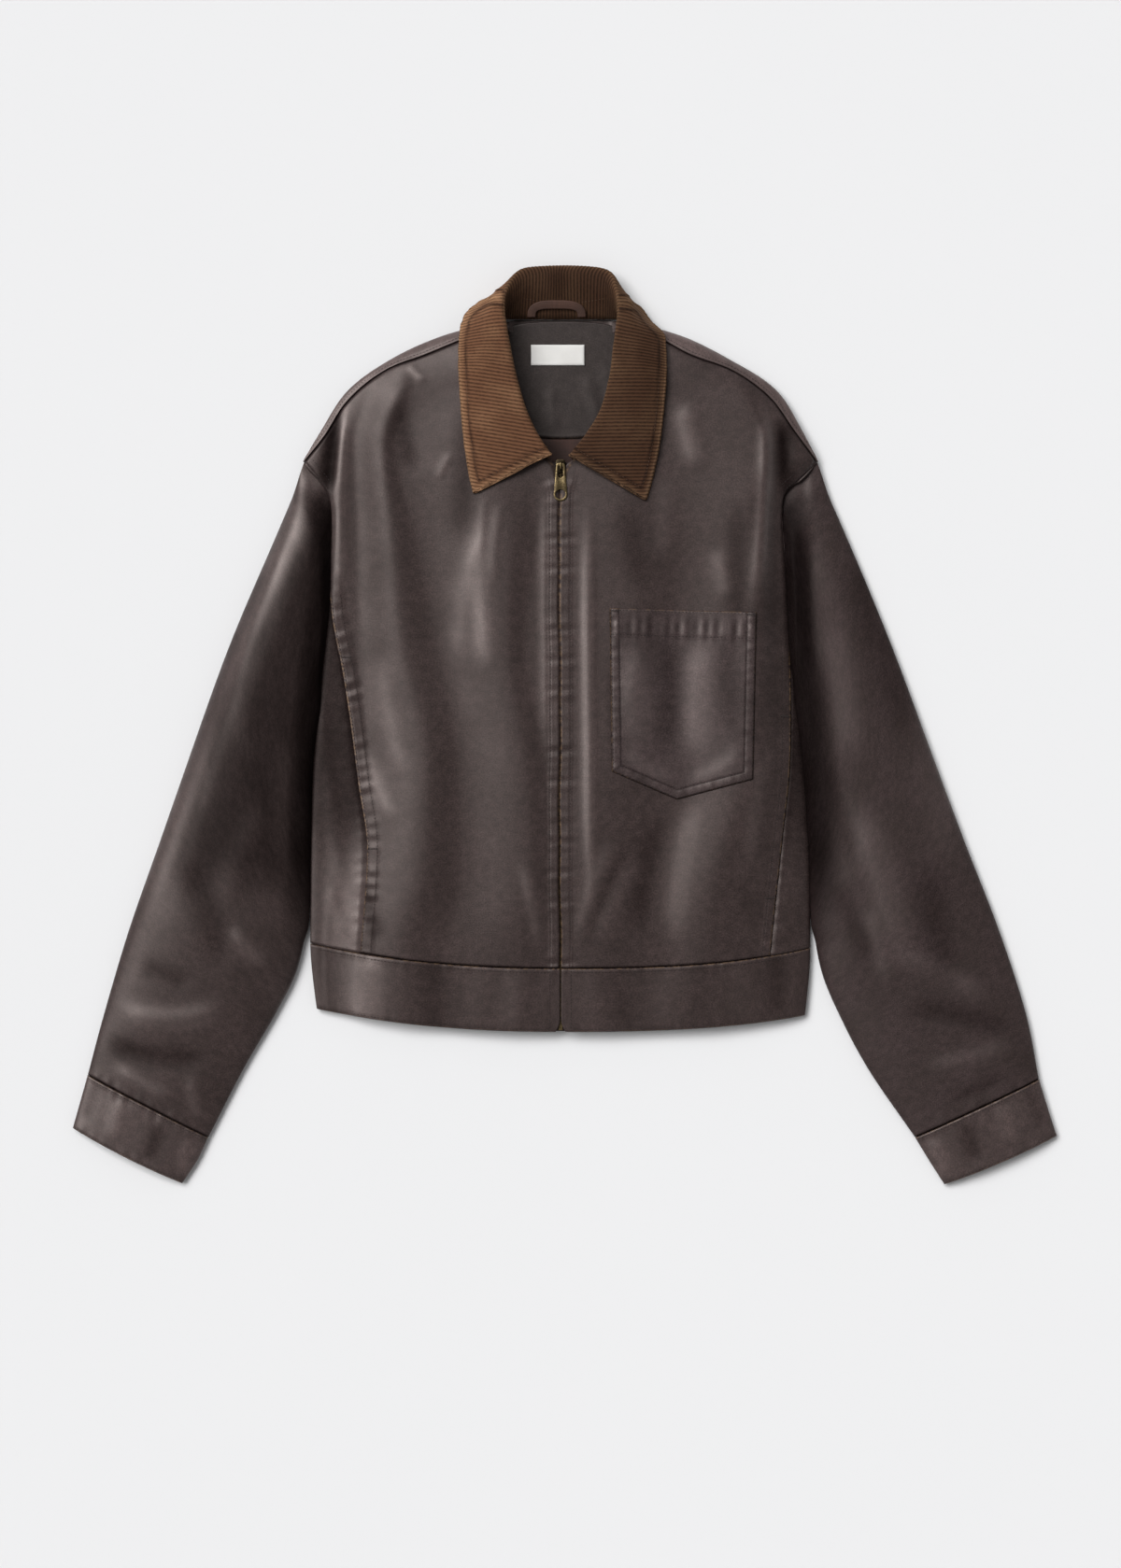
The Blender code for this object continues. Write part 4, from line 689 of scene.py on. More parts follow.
def frontPanel(name, side, pocketSeam, sideRows, shoulderSeam, node):
    turn = pocketSeam["y"][-1]
    over = betweenHeights(sideRows, turn, sideRows["y"][-1] - 1)
    outer = moved(joined(path(pocketSeam), lambda t: over(closerOut(t)), 0.75), -side * body["sideGap"] / 2)
    inner = path(frontEdge(side))
    seamLine = path(shoulderSeam)
    shoulderLine = lineOf(shoulderSeam)
    left, right = (outer, inner) if side < 0 else (inner, outer)
    outerLine, innerLine = outer(np.linspace(0, 1, 60)), inner(np.linspace(0, 1, 70))
    edgeSeam = frontPiece["rightSeam" if side < 0 else "leftSeam"]

    def top(u):
        t = u if side < 0 else 1 - u
        return seamLine(t) + np.stack([0 * t, body["shoulderLap"] * smoothStep(t / 0.15)], -1)

    def foot(u):
        ends = left(np.zeros(1))[0, 0], right(np.zeros(1))[0, 0]
        x = ends[0] + u * (ends[1] - ends[0])
        return np.stack([x, bandLine(x, True) + body["hemGap"]], -1)

    def surface(u, v):
        steps = ((0, 0), (0.18, 0.075), (0.86, 0.95), (1, 1))  # finer by the zip and the pocket seam
        u = gridSteps(steps, u) if side > 0 else 1 - gridSteps(steps, 1 - u)
        v = gridSteps(((0, 0), (0.03, 0.012), (0.97, 0.988), (1, 1)), v)
        plan = coons(u, v, foot, top, left, right)
        x, y = plan[:, 0], plan[:, 1]
        z = frontHeight(x, y)
        dZip, sZip = nearest(x, y, innerLine)
        dSide, sSide = nearest(x, y, outerLine)
        dHem = y - bandLine(x, True) - body["hemGap"]
        shoulderY = np.interp(-side * x, -side * shoulderLine[:, 0], shoulderLine[:, 1])
        dTop = nearest(x, y, shoulderLine)[0] * np.where(y < shoulderY, 1, -1)
        z -= 1.9 * (1 - smoothStep((dTop + 0.2) / 2.4))
        z += seamRelief(dZip, sZip, frontPiece["zipSeam"]) * smoothStep((500 - y) / 12)
        z += seamRelief(dSide, sSide, edgeSeam) * smoothStep((pocketSeam["y"][-1] + 40 - y) / 50)
        z -= 0.6 * np.clip(1 - dHem / 1.5, 0, 1) ** 2
        wave = zipWave(y) * np.exp(-((dZip / 14) ** 2)) * smoothStep((495 - y) / 20)
        wear = 0.8 * np.exp(-((dSide / 0.8) ** 2)) * smoothStep((pocketSeam["y"][-1] + 10 - y) / 20)
        wear += (0.7 if side > 0 else 0.2) * np.exp(-((dZip / 0.7) ** 2))
        # painted shade in the creases' troughs and painted light on their ridges, and lines of painted shade
        # at the shoulder seam, the hem seam and the zip, darker on the wearer's right front
        wax = np.clip(-0.3 * creaseHeight(x, y, frontCreases), -0.25, 0.8)
        wax += 0.5 * np.exp(-((dTop / 1.2) ** 2)) + 0.5 * np.exp(-((dHem / 1.2) ** 2))
        wax += (0.2 + 0.4 * (side < 0)) * np.exp(-((dZip / 1.6) ** 2))
        return np.column_stack([x + wave, y, z]), plan, {"wear": wear, "wax": wax}

    piece = clothPiece(name, frontPiece["columns"], frontPiece["rows"], surface, "cotton",
                       [node])
    return piece


frontRight = frontPanel("front_panel_right", -1, leftPocketSeam, leftSide, leftShoulderSeam, "front_right")
frontLeft = frontPanel("front_panel_left", 1, rightPocketSeam, rightSide, rightShoulderSeam, "front_left")
print("fronts made")


backPiece = {
    "lyingRows": 96,
    "overRows": 30,
    "columns": 132,
    "neckShare": 4 / 14,  # of the columns on each side, that end at the back neck
    "neckDrop": 18,  # how far the cloth lies flat below the neck's fold
}
# shallow waves where the back lies on the surface: they lift it a little and never press into it
backCreases = tableOf(
    "fromX fromY toX toY bow height left right",
    (-170, 480, -150, 250, 8, 0.7, 14, 20),
    (160, 470, 140, 220, -8, 0.7, 18, 14),
    (-120, 300, -100, 90, 4, 0.6, 16, 14),
    (100, 320, 118, 90, -5, 0.6, 14, 18),
    (-195, 330, -120, 300, 4, 0.6, 8, 12),
    (195, 340, 130, 296, -4, 0.6, 10, 8),
    (-40, 260, -30, 90, 3, 0.5, 16, 16),
    (44, 230, 52, 90, -3, 0.5, 14, 18),
    (-190, 200, -140, 120, 3, 0.5, 9, 12),
    (190, 180, 150, 100, -3, 0.5, 10, 9),
    (-200, 440, -150, 520, -4, 0.6, 9, 12),
    (198, 440, 152, 522, 4, 0.6, 9, 12),
)


def backLift(x, y):  # the lift fades under the facing and the label, which lie level
    waves = np.maximum(creaseHeight(x, y, backCreases), 0) + 0.12 * (1 + ripple(x + 0.4 * y, (83, 131), 7))
    return np.clip(waves, 0, 0.75) * smoothStep((515 - y + 0.8 * np.abs(x) * (np.abs(x) > 105)) / 40)


def backPanel():
    lying = backPiece["lyingRows"] / (backPiece["lyingRows"] + backPiece["overRows"])
    seams = path(leftShoulderSeam), path(rightShoulderSeam)
    ends = [seam(np.ones(1))[0] for seam in seams]
    share = backPiece["neckShare"]

    def head(u):  # each column's place across, its fold, its seam, and 1 at the neck
        middle = 2 * u - 1
        out = closerOut(np.clip((np.abs(middle) - share) / (1 - share), 0, 1))
        onSeam = np.where((middle < 0)[:, None], seams[0](1 - out), seams[1](1 - out))
        along = np.clip(middle / share, -1, 1)
        across = 0.5 + 0.5 * np.sign(along) * np.abs(along) ** 0.3
        onNeck = ends[0] + across[:, None] * (ends[1] - ends[0])
        seam = np.where((np.abs(along) < 1)[:, None], onNeck, onSeam)
        lines = lineOf(leftShoulder), lineOf(rightShoulder)[::-1]
        fold = np.where(middle < 0, *(np.interp(seam[:, 0], line[:, 0], line[:, 1]) for line in lines))
        neck = smoothStep((1 - np.abs(along)) * 4 / 3)
        return seam[:, 0], fold, seam[:, 1], neck

    def edge(rows, side):
        start = float(bandLine(side * body["halfWidth"], True)) + body["hemGap"]

        def at(t):
            y = start + t * (rows["y"][-1] - 3 - start)
            line = atHeights(rows, y)
            inset = 1.7 + (body["flatRim"] + 0.3) * smoothStep((body["underarm"] + 30 - y) / 35)
            line[:, 0] -= side * inset
            return line

        return at

    left, right = edge(leftSide, -1), edge(rightSide, 1)

    def foot(u):
        low, high = left(np.zeros(1))[0, 0], right(np.zeros(1))[0, 0]
        x = low + u * (high - low)
        return np.stack([x, bandLine(x, True) + body["hemGap"]], -1)

    def top(u):
        x, fold, _, neck = head(u)
        return np.stack([x, fold - body["flatRim"] - backPiece["neckDrop"] * neck], -1)

    def surface(u, v):
        x, fold, seam, neck = head(u)
        over = np.clip((v - lying) / (1 - lying), 0, 1)
        flat = coons(u, np.clip(v / lying, 0, 1), foot, top, left, right)
        rim = spline(rimHeight["y"], rimHeight["z"], fold)
        low = np.clip(over / 0.45, 0, 1) * math.pi / 2
        high = np.clip((over - 0.45) / 0.55, 0, 1) * math.pi / 2
        yLow = fold - body["flatRim"] * (1 - np.sin(low))
        yHigh = fold - (fold - seam) * (1 - np.cos(high))
        y = np.where(over > 0.45, yHigh, yLow)
        z = np.where(over > 0.45, frontHeight(x, yHigh), rim * (1 - np.cos(low)))
        start = fold - body["flatRim"] - backPiece["neckDrop"]
        yNeck = start + over * (body["neckSeam"] - 0.4 - start)
        y = y * (1 - neck) + yNeck * neck
        z = z * (1 - neck)
        fromSeam = (y - seam) * (over > 0.45) + 99 * (over <= 0.45)
        edgeDrop = 0.6 * np.clip(1 - fromSeam / 1.2, 0, 1) ** 2
        z -= (1 - neck) * (edgeDrop + 0.25 * np.exp(-(((fromSeam - 3.0) / 0.8) ** 2)))
        lies = over <= 0
        dHem = flat[:, 1] - bandLine(flat[:, 0], True)
        lift = backLift(flat[:, 0], flat[:, 1])
        lift = lift + 0.2 * (1 + ripple(flat[:, 0], (13, 22, 37), 5)) * np.exp(-((dHem / 9) ** 2))
        points = np.where(lies[:, None], np.column_stack([flat, lift]), np.column_stack([x, y, z]))
        cloth = np.column_stack([points[:, 0], flat[:, 1] + over * (25 + fold - seam)])
        # painted light over the strip that rolls over the shoulders, with a line of painted shade at its seam
        strip = (over > 0.45) * (1 - neck)
        wax = (0.9 * np.exp(-((fromSeam / 0.9) ** 2)) - 0.55) * strip
        return points, cloth, {"wax": wax}

    rows = backPiece["lyingRows"] + backPiece["overRows"]
    piece = clothPiece("back_panel", backPiece["columns"], rows, surface, "cotton",
                       ["back"], flip=True)
    return piece


back = backPanel()
print("back made")


sidePiece = {
    "columns": 40,
    "rows": 150,
    "turned": 0.34,  # share of the columns that lie round the fold
    "leastTuck": 0.35,  # how far it still turns under above the underarm
    "lap": 4.0,  # how far it goes in below the front's edge
    "lapDrop": 2.1,  # and how far under it
}
sideCreases = tableOf(
    "fromX fromY toX toY bow height left right",
    (-214, 300, -196, 180, 4, 0.9, 6, 8),
    (-210, 230, -192, 130, 3, 0.8, 6, 7),
    (-205, 130, -190, 85, 2, 0.7, 6, 6),
    (213, 300, 206, 200, -3, 0.7, 5, 6),
    (212, 190, 200, 110, -2, 0.7, 5, 6),
    (206, 120, 196, 80, -2, 0.6, 5, 6),
)


def sidePanel(name, side, pocketSeam, armhole, node):
    lap = sidePiece["lap"]
    seam = moved(path(pocketSeam), -side * lap)
    turned, least = sidePiece["turned"], sidePiece["leastTuck"]

    def surface(u, v):
        across = 1 - u if side > 0 else u
        inner = seam(v)
        fold = atHeights(armhole, inner[:, 1] + 8 * (1 - v) ** 4)
        tuck = least + (1 - least) * smoothStep((body["underarm"] - fold[:, 1]) / 25)
        psi = np.clip((turned - across) / turned, 0, 1) * math.pi / 2 * tuck
        phi = np.clip((across - turned) / (1 - turned), 0, 1) * math.pi / 2
        width = np.abs(inner[:, 0] - fold[:, 0])
        inward = np.where(across < turned, body["flatRim"] * (1 - np.cos(psi)), width * (1 - np.cos(phi)))
        x = fold[:, 0] - side * inward
        foot = bandLine(x, True) + body["hemGap"]
        start, stop = pocketSeam["y"][0], pocketSeam["y"][-1]
        y = foot + (inner[:, 1] - start) / (stop - start) * (stop + 7.0 - foot)
        rim = frontHeight(fold[:, 0], y)
        d = np.abs(inner[:, 0] - x)
        relief = creaseHeight(x, y, sideCreases)
        nearSeam = np.exp(-(((d - 7) / 5) ** 2))
        relief += 0.3 * ripple(y, (10.5, 14, 23), 11) * nearSeam * smoothStep((340 - y) / 60)
        relief -= sidePiece["lapDrop"] * (1 - smoothStep((d - lap + 0.8) / 3.2))
        z = np.where(across < turned, rim - np.sin(psi) * rim, frontHeight(x, y) + relief * np.sin(phi))
        # painted shade on the side panels, deepest beside the pocket seam and fading out low down; painted
        # light on the lower part of the wearer's right side panel, away from its fold
        wax = (0.3 + 0.5 * np.exp(-((d / 7) ** 2))) * smoothStep((y - 130) / 110)
        wax -= 0.35 * (1 - smoothStep((y - 110) / 90)) * smoothStep(inward / 24) * (side < 0)
        return np.column_stack([x, y, z]), np.column_stack([side * inward, y]), {"wax": wax}

    piece = clothPiece(name, sidePiece["columns"], sidePiece["rows"], surface, "cotton",
                       [node])
    return piece


sideRight = sidePanel("side_panel_right", -1, leftPocketSeam, leftSide, "side_right")
sideLeft = sidePanel("side_panel_left", 1, rightPocketSeam, rightSide, "side_left")
print("side panels made")


bandPiece = {
    "columns": 430,
    "rows": 26,
    "frontShare": 0.32,
    "turnShare": 0.03,
    "notch": 4.0,  # how far the band's lower corners fall back from the zip
    "stitch": 3.6,  # from the seam down to the stitching
    "seed": 23,
}
bandCreases = tableOf(
    "fromX fromY toX toY bow height left right",
    (-172, 72, -174, -5, 1, 1.3, 16, 14),
    (-112, 68, -110, -5, 0, -0.4, 12, 14),
    (-70, 66, -76, -2, 1, 0.25, 10, 12),
    (-38, 62, -42, 0, 1, 0.5, 10, 12),
    (-14, 60, -20, 0, 0, 0.2, 7, 8),
    (26, 60, 30, 0, 0, 0.25, 9, 9),
    (52, 62, 60, 0, 0, -0.25, 8, 10),
    (96, 66, 90, 0, 1, 0.35, 12, 14),
    (128, 70, 124, 4, 0, -0.3, 10, 12),
    (160, 72, 162, 6, 0, 0.25, 10, 12),
    (196, 74, 192, 10, 0, -0.6, 8, 10),
)


def hemBand():
    def surface(u, v):
        v = gridSteps(((0, 0), (0.22, 0.12), (0.62, 0.72), (1, 1)), v)
        ySide = 5 + 70 * v
        edges = spline(leftSide["y"], leftSide["x"], ySide), spline(rightSide["y"], rightSide["x"], ySide)
        slit = body["slit"] + bandPiece["notch"] * np.clip(1 - v / 0.2, 0, 1) ** 2
        front, turn = bandPiece["frontShare"], bandPiece["turnShare"]
        stops = np.cumsum([0, front, turn, 1 - 2 * (front + turn), turn])
        stage = np.clip(np.searchsorted(stops, u, side="right") - 1, 0, 4)
        x, z = np.zeros_like(u), np.zeros_like(u)
        for k, sign, edge in ((0, -1, edges[0]), (4, 1, edges[1])):
            t = (u - stops[k]) / front
            t = t if k == 0 else 1 - t
            t = gridSteps(((0, 0), (0.1, 0.05), (1, 1)), t)
            x = np.where(stage == k, sign * (slit + (np.abs(edge) - slit) * np.sin(t * math.pi / 2)), x)
        for k, sign, edge in ((1, -1, edges[0]), (3, 1, edges[1])):
            t = (u - stops[k]) / turn
            psi = (t if k == 1 else 1 - t) * math.pi / 2
            x = np.where(stage == k, edge - sign * body["flatRim"] * (1 - np.cos(psi)), x)
            z = np.where(stage == k, body["flatRim"] * (1 - np.sin(psi)), z)
        t = (u - stops[2]) / (stops[3] - stops[2])
        rim = body["flatRim"]
        x = np.where(stage == 2, edges[0] + rim + t * (edges[1] - edges[0] - 2 * rim), x)
        foot, seam = bandLine(x, False), bandLine(x, True)
        y = foot + v * (seam - foot)
        fromSeam, fromFoot = seam - y, y - foot
        drawn = ripple(x, (9.5, 13, 19), bandPiece["seed"]) * (0.5 + 0.5 * ripple(x, (47, 83), 4))
        low = ripple(x, (12, 17, 31), bandPiece["seed"] + 2)
        relief = 0.4 * drawn * np.exp(-((fromSeam / 8) ** 2)) + 0.22 * low * np.exp(-((fromFoot / 7) ** 2))
        relief += 0.35 * (1 - smoothStep((fromSeam - bandPiece["stitch"] - 0.4) / 1.6))
        relief -= 0.35 * np.exp(-(((fromSeam - bandPiece["stitch"]) / 0.8) ** 2))
        relief -= 0.25 * np.exp(-(((fromFoot - 2.2) / 0.8) ** 2))
        relief -= 0.7 * np.clip(1 - fromSeam / 1.2, 0, 1) ** 2 + 0.9 * np.clip(1 - fromFoot / 1.6, 0, 1) ** 2
        onFront = (stage == 0) | (stage == 4)
        creased = creaseHeight(x, y, bandCreases) * smoothStep((215 - np.abs(x)) / 20)
        height = frontHeight(x, y) + creased + relief
        under = 0.15 + 0.15 * ripple(x, (13, 22, 37), 5) * np.exp(-((fromSeam / 9) ** 2))
        z = np.where(onFront, height, np.where(stage == 2, under, z))
        wear = 0.5 * np.exp(-((fromSeam / 0.8) ** 2)) + 0.35 * np.exp(-((fromFoot / 0.9) ** 2))
        # painted shade in the creases' troughs and painted light on their ridges
        wax = np.clip(-0.3 * creaseHeight(x, y, bandCreases), -0.3, 0.35) * onFront
        cloth = np.column_stack([u * 900, y])
        wear = wear * (onFront + 0.5 * (stage != 0) * (stage != 4))
        return np.column_stack([x, y, z]), cloth, {"wear": wear, "wax": wax}

    columns, rows = bandPiece["columns"], bandPiece["rows"]
    piece = clothPiece("waistband", columns, rows, surface, "band", ["hem_band"], flip=True)
    return piece


waistband = hemBand()
print("waistband made")


sleevePiece = {
    "columns": 120,
    "rows": 170,
    "topShare": 0.6,  # of the columns, that lie on the upper side
    "turn": 0.22,  # share of the underside's columns in each turn
    "shade": 0.45,  # how deep the shade lies beside the right sleeve's lit outer edge
    "besideTuck": 2.4,  # how far the inner fold goes in below the body's side
    "headTuck": 3.5,  # how far the head goes in below the body's edge
    "headDrop": 2.2,  # and how far under it
    "valleyWidth": 33,  # how far from the body the sleeve still lies in the valley beside it
    "valleyFade": 27,
    "valleyPaintedShade": 1.0,
}
leftSleeve = tableOf(
    "outerX outerY innerX innerY height bow crest",
    (-231, 512, -215, 306, 18, 0, 0.2),
    (-262, 435, -225, 236, 25, 0, 0.22),
    (-295, 352, -226, 165, 27, 0, 0.3),
    (-328, 258, -227, 105, 27, 0, 0.40),
    (-358, 172, -235, 58, 25, 0, 0.43),
    (-386, 92, -254, 18, 21, 0, 0.42),
    (-408, 18, -283, -32, 16, 0, 0.42), (-423, -38, -315, -94, 14, 0, 0.5),
)
rightSleeve = tableOf(
    "outerX outerY innerX innerY height bow crest",
    (231, 512, 212, 306, 18, 0, 0.5), (263, 435, 221, 236, 21, 0, 0.55), (295, 352, 224.5, 165, 22, 0, 0.6),
    (329, 258, 226, 105, 22, 0, 0.64), (361, 172, 233, 56, 21, 0, 0.62), (392, 92, 251, 12, 18, 0, 0.58),
    (416, 18, 277, -36, 16, 0, 0.55), (428, -42, 317, -94, 14, 0, 0.5),
)
leftCuff = tableOf(
    "outerX outerY innerX innerY height bow crest",
    (-423.2, -38.6, -315.3, -94.6, 14, 0, 0.5), (-430, -63, -325, -115, 13, 0.8, 0.5),
    (-436.5, -86, -338.5, -135.5, 12, 1.6, 0.5),
)
rightCuff = tableOf(
    "outerX outerY innerX innerY height bow crest",
    (428.2, -42.6, 317.3, -94.6, 14, 0, 0.5), (436, -68, 331, -117, 13, 0.8, 0.5),
    (444, -93, 343.5, -136.5, 12, 1.6, 0.5),
)
# creases on the upper side of the sleeves, from the shoulder down
leftSleeveCreases = tableOf(
    "fromX fromY toX toY bow height left right",
    (-214, 516, -300, 258, 6, 1.6, 22, 12),
    (-300, 280, -378, 110, 3, 1.2, 24, 16),
    (-238, 455, -344, 110, 4, 0.7, 10, 7),
    (-236, 262, -246, 150, 2, 1.2, 8, 10),
    (-262, 200, -300, 110, 4, 1.0, 10, 14),
    (-330, 150, -300, 60, -5, -1.5, 12, 14),
    (-292, 92, -262, 60, 2, 1.4, 8, 8),
    (-395, 20, -300, 22, 9, 1.8, 10, 13),
    (-404, -12, -318, -24, 5, -2.0, 9, 11),
    (-396, -30, -345, -58, 3, 1.2, 6, 8),
    (-330, -40, -322, -80, 0, 1.0, 6, 6),
    (-372, 60, -330, 44, 3, -0.9, 8, 9),
    (-262, 415, -300, 330, 2, -0.7, 6, 8),
    (-286, 300, -270, 240, 2, 0.6, 8, 8),
)
rightSleeveCreases = tableOf(
    "fromX fromY toX toY bow height left right",
    (214, 478, 248, 366, 0, 1.1, 10, 14),
    (246, 375, 264, 240, -2, 1.4, 12, 16),
    (268, 200, 306, 60, -4, 1.8, 14, 16),
    (220, 440, 226, 320, 2, -1.6, 6, 8),
    (262, 440, 318, 250, 3, -1.4, 14, 16),
    (310, 300, 350, 150, -3, 1.0, 14, 18),
    (330, 150, 352, 40, 3, -1.3, 14, 16),
    (300, 70, 380, 30, -5, 1.3, 9, 12),
    (312, 20, 404, 0, -4, -1.4, 10, 10),
    (330, -30, 404, -10, 3, 1.1, 8, 9),
    (350, -60, 396, -38, 2, -0.9, 6, 7),
    (240, 240, 262, 150, -2, -0.9, 8, 8),
    (252, 130, 282, 60, 2, -1.1, 8, 10),
    (300, 420, 330, 330, 2, 0.7, 9, 10),
    (276, 110, 296, 40, 1, 0.9, 7, 8),
)


def tubePoints(rows, u, v, armhole=None):
    # u goes round the flat tube, over the top from the outer fold and back underneath
    stops = np.linspace(0, 1, len(rows["height"]))
    cut = {name: spline(stops, column, v) for name, column in rows.items()}
    outer = np.stack([cut["outerX"], cut["outerY"]], -1)
    inner = np.stack([cut["innerX"], cut["innerY"]], -1)
    width = np.linalg.norm(inner - outer, axis=1)
    share, turn, flatRim = sleevePiece["topShare"], sleevePiece["turn"], body["flatRim"]
    top = u < share
    phi = np.where(top, u / share, 0) * math.pi
    across, crest = (1 - np.cos(phi)) / 2, cut["crest"]
    fromCrest = np.where(across < crest, (crest - across) / crest, (across - crest) / (1 - crest))
    bulge = np.maximum(1 - fromCrest**2.2, 0) ** 0.55 * top
    z = flatRim + (cut["height"] - flatRim) * bulge
    under = np.clip((u - share) / (1 - share), 0, 1)
    first, last = np.clip(under / turn, 0, 1) * math.pi / 2, np.clip((1 - under) / turn, 0, 1) * math.pi / 2
    flat = np.clip((under - turn) / (1 - 2 * turn), 0, 1)
    radius = flatRim / width
    lastTurn = np.where(under > 1 - turn, radius * (1 - np.cos(last)), 1 - radius - flat * (1 - 2 * radius))
    sUnder = np.where(under < turn, 1 - radius * (1 - np.cos(first)), lastTurn)
    s = np.where(top, across, sUnder)
    z = np.where(top, z, flatRim * (1 - np.minimum(np.sin(first), np.sin(last))))
    plan = outer + (inner - outer) * s[:, None]
    down = np.stack([inner[:, 1] - outer[:, 1], outer[:, 0] - inner[:, 0]], -1) / width[:, None]
    down *= -np.sign(down[:, 1:])
    plan += down * (cut["bow"] * 4 * s * (1 - s))[:, None]
    if armhole is not None:  # the head follows the armhole's curve and height, then takes its own shape
        lead = smoothStep(1 - v / 0.42)
        hole = armhole(1 - s)
        start, stop = (np.array([rows[f"{edge}X"][0], rows[f"{edge}Y"][0]]) for edge in ("outer", "inner"))
        plan += (hole - start - (stop - start) * s[:, None]) * lead[:, None]
        headHeight = spline(rimHeight["y"], rimHeight["z"], hole[:, 1]) - sleevePiece["headDrop"]
        near = smoothStep(1 - v / 0.07)
        tip = np.exp(-s / 0.06) * near
        plan += np.stack([2.2 * np.sign(plan[:, 0]), 0.5 + 0 * s], -1) * tip[:, None]
        z = np.where(top, z + (headHeight - z) * near, z * (1 + (headHeight / flatRim - 1) * near))
    return plan, z, bulge, s, width, top


def sleeveTube(name, rows, side, armholeRows, creases, nodes):
    low, high = body["underarm"], armholeRows["y"][-1]
    hole = moved(lambda t: atHeights(armholeRows, low + t * (high - low)), -side * sleevePiece["headTuck"])
    bodyLine = betweenHeights(armholeRows, 20, 500)(np.linspace(0, 1, 60))

    def surface(u, v):
        v = gridSteps(((0, 0), (0.10, 0.03), (0.93, 0.955), (1, 1)), v)
        plan, z, bulge, s, width, top = tubePoints(rows, u % 1.0, v, hole)
        x, y = plan[:, 0], plan[:, 1]
        beside = smoothStep((s - 0.7) / 0.3) * smoothStep((y - 78) / 18) * smoothStep((330 - y) / 40)
        x = x - side * sleevePiece["besideTuck"] * beside
        z = z + creaseHeight(x, y, creases) * np.clip(bulge * 1.5, 0, 1) * smoothStep(v / 0.05)
        length = 590
        fromHead, fromCuff = v * length, (1 - v) * length
        onTop = np.clip(bulge * 2.5, 0, 1)
        pulled = ripple(s * width, (11, 16, 27), 41 + side) * np.exp(-((fromCuff / 9) ** 2))
        eased = ripple(s * 210, (12, 18), 43 + side) * np.exp(-(((fromHead - 14) / 7) ** 2))
        edge = 0.6 * np.clip(1 - fromCuff / 1.4, 0, 1) ** 2
        z += onTop * (0.45 * pulled + 0.4 * eased - edge)
        lift = 0.3 * (1 + ripple(y + 0.3 * x, (67, 109, 41), 51 + side)) * smoothStep(v / 0.1)
        belly = ~top * smoothStep((np.abs(s - 0.5) < 0.42) * (0.42 - np.abs(s - 0.5)) / 0.1)
        z += lift * belly
        around = np.where(top, s, 2 - s) * width
        # painted shade in the valley beside the body and, on the wearer's right sleeve, beside its lit outer
        # edge; painted shade in the creases' troughs and painted light on their ridges; a line of painted
        # shade at the cuff seam
        fromBody = nearest(x, y, bodyLine)[0]
        valley = smoothStep((sleevePiece["valleyWidth"] - fromBody) / sleevePiece["valleyFade"])
        wax = sleevePiece["valleyPaintedShade"] * valley
        wax *= smoothStep((492 - y) / 30) * smoothStep((y - 50) / 130)
        if side < 0:
            shade = smoothStep((s * width - 12) / 18) * top
            shade *= smoothStep((490 - y) / 60) * smoothStep((y - 105) / 60)
            wax = np.maximum(wax, sleevePiece["shade"] * shade)
        wax += np.clip(-0.15 * creaseHeight(x, y, creases), -0.2, 0.25)
        wax += 0.5 * np.exp(-((fromCuff / 1.2) ** 2))
        return np.column_stack([x, y, z]), np.column_stack([around, -v * length]), {"wax": wax}

    columns, rowCount = sleevePiece["columns"], sleevePiece["rows"]
    finish = "sleeveRight" if side < 0 else "sleeveLeft"
    piece = clothPiece(name, columns, rowCount, surface, finish, nodes, flip=side < 0,
                       weld=0.01)
    return piece


cuffPiece = {"columns": 150, "rows": 30, "stitch": 2.2}
cuffCreases = tableOf(
    "fromX fromY toX toY bow height left right",
    (-330, -96, -336, -128, 0, 0.9, 7, 7),
    (-356, -84, -366, -116, 0, -0.8, 8, 8),
    (-392, -62, -400, -96, 0, 0.8, 9, 8),
    (-416, -46, -424, -80, 0, -0.5, 6, 6),
    (334, -96, 346, -130, 0, 0.8, 7, 7),
    (362, -80, 372, -116, 0, -0.8, 8, 9),
    (396, -64, 404, -98, 0, 0.7, 8, 8),
    (418, -50, 430, -84, 0, -0.5, 6, 6),
)


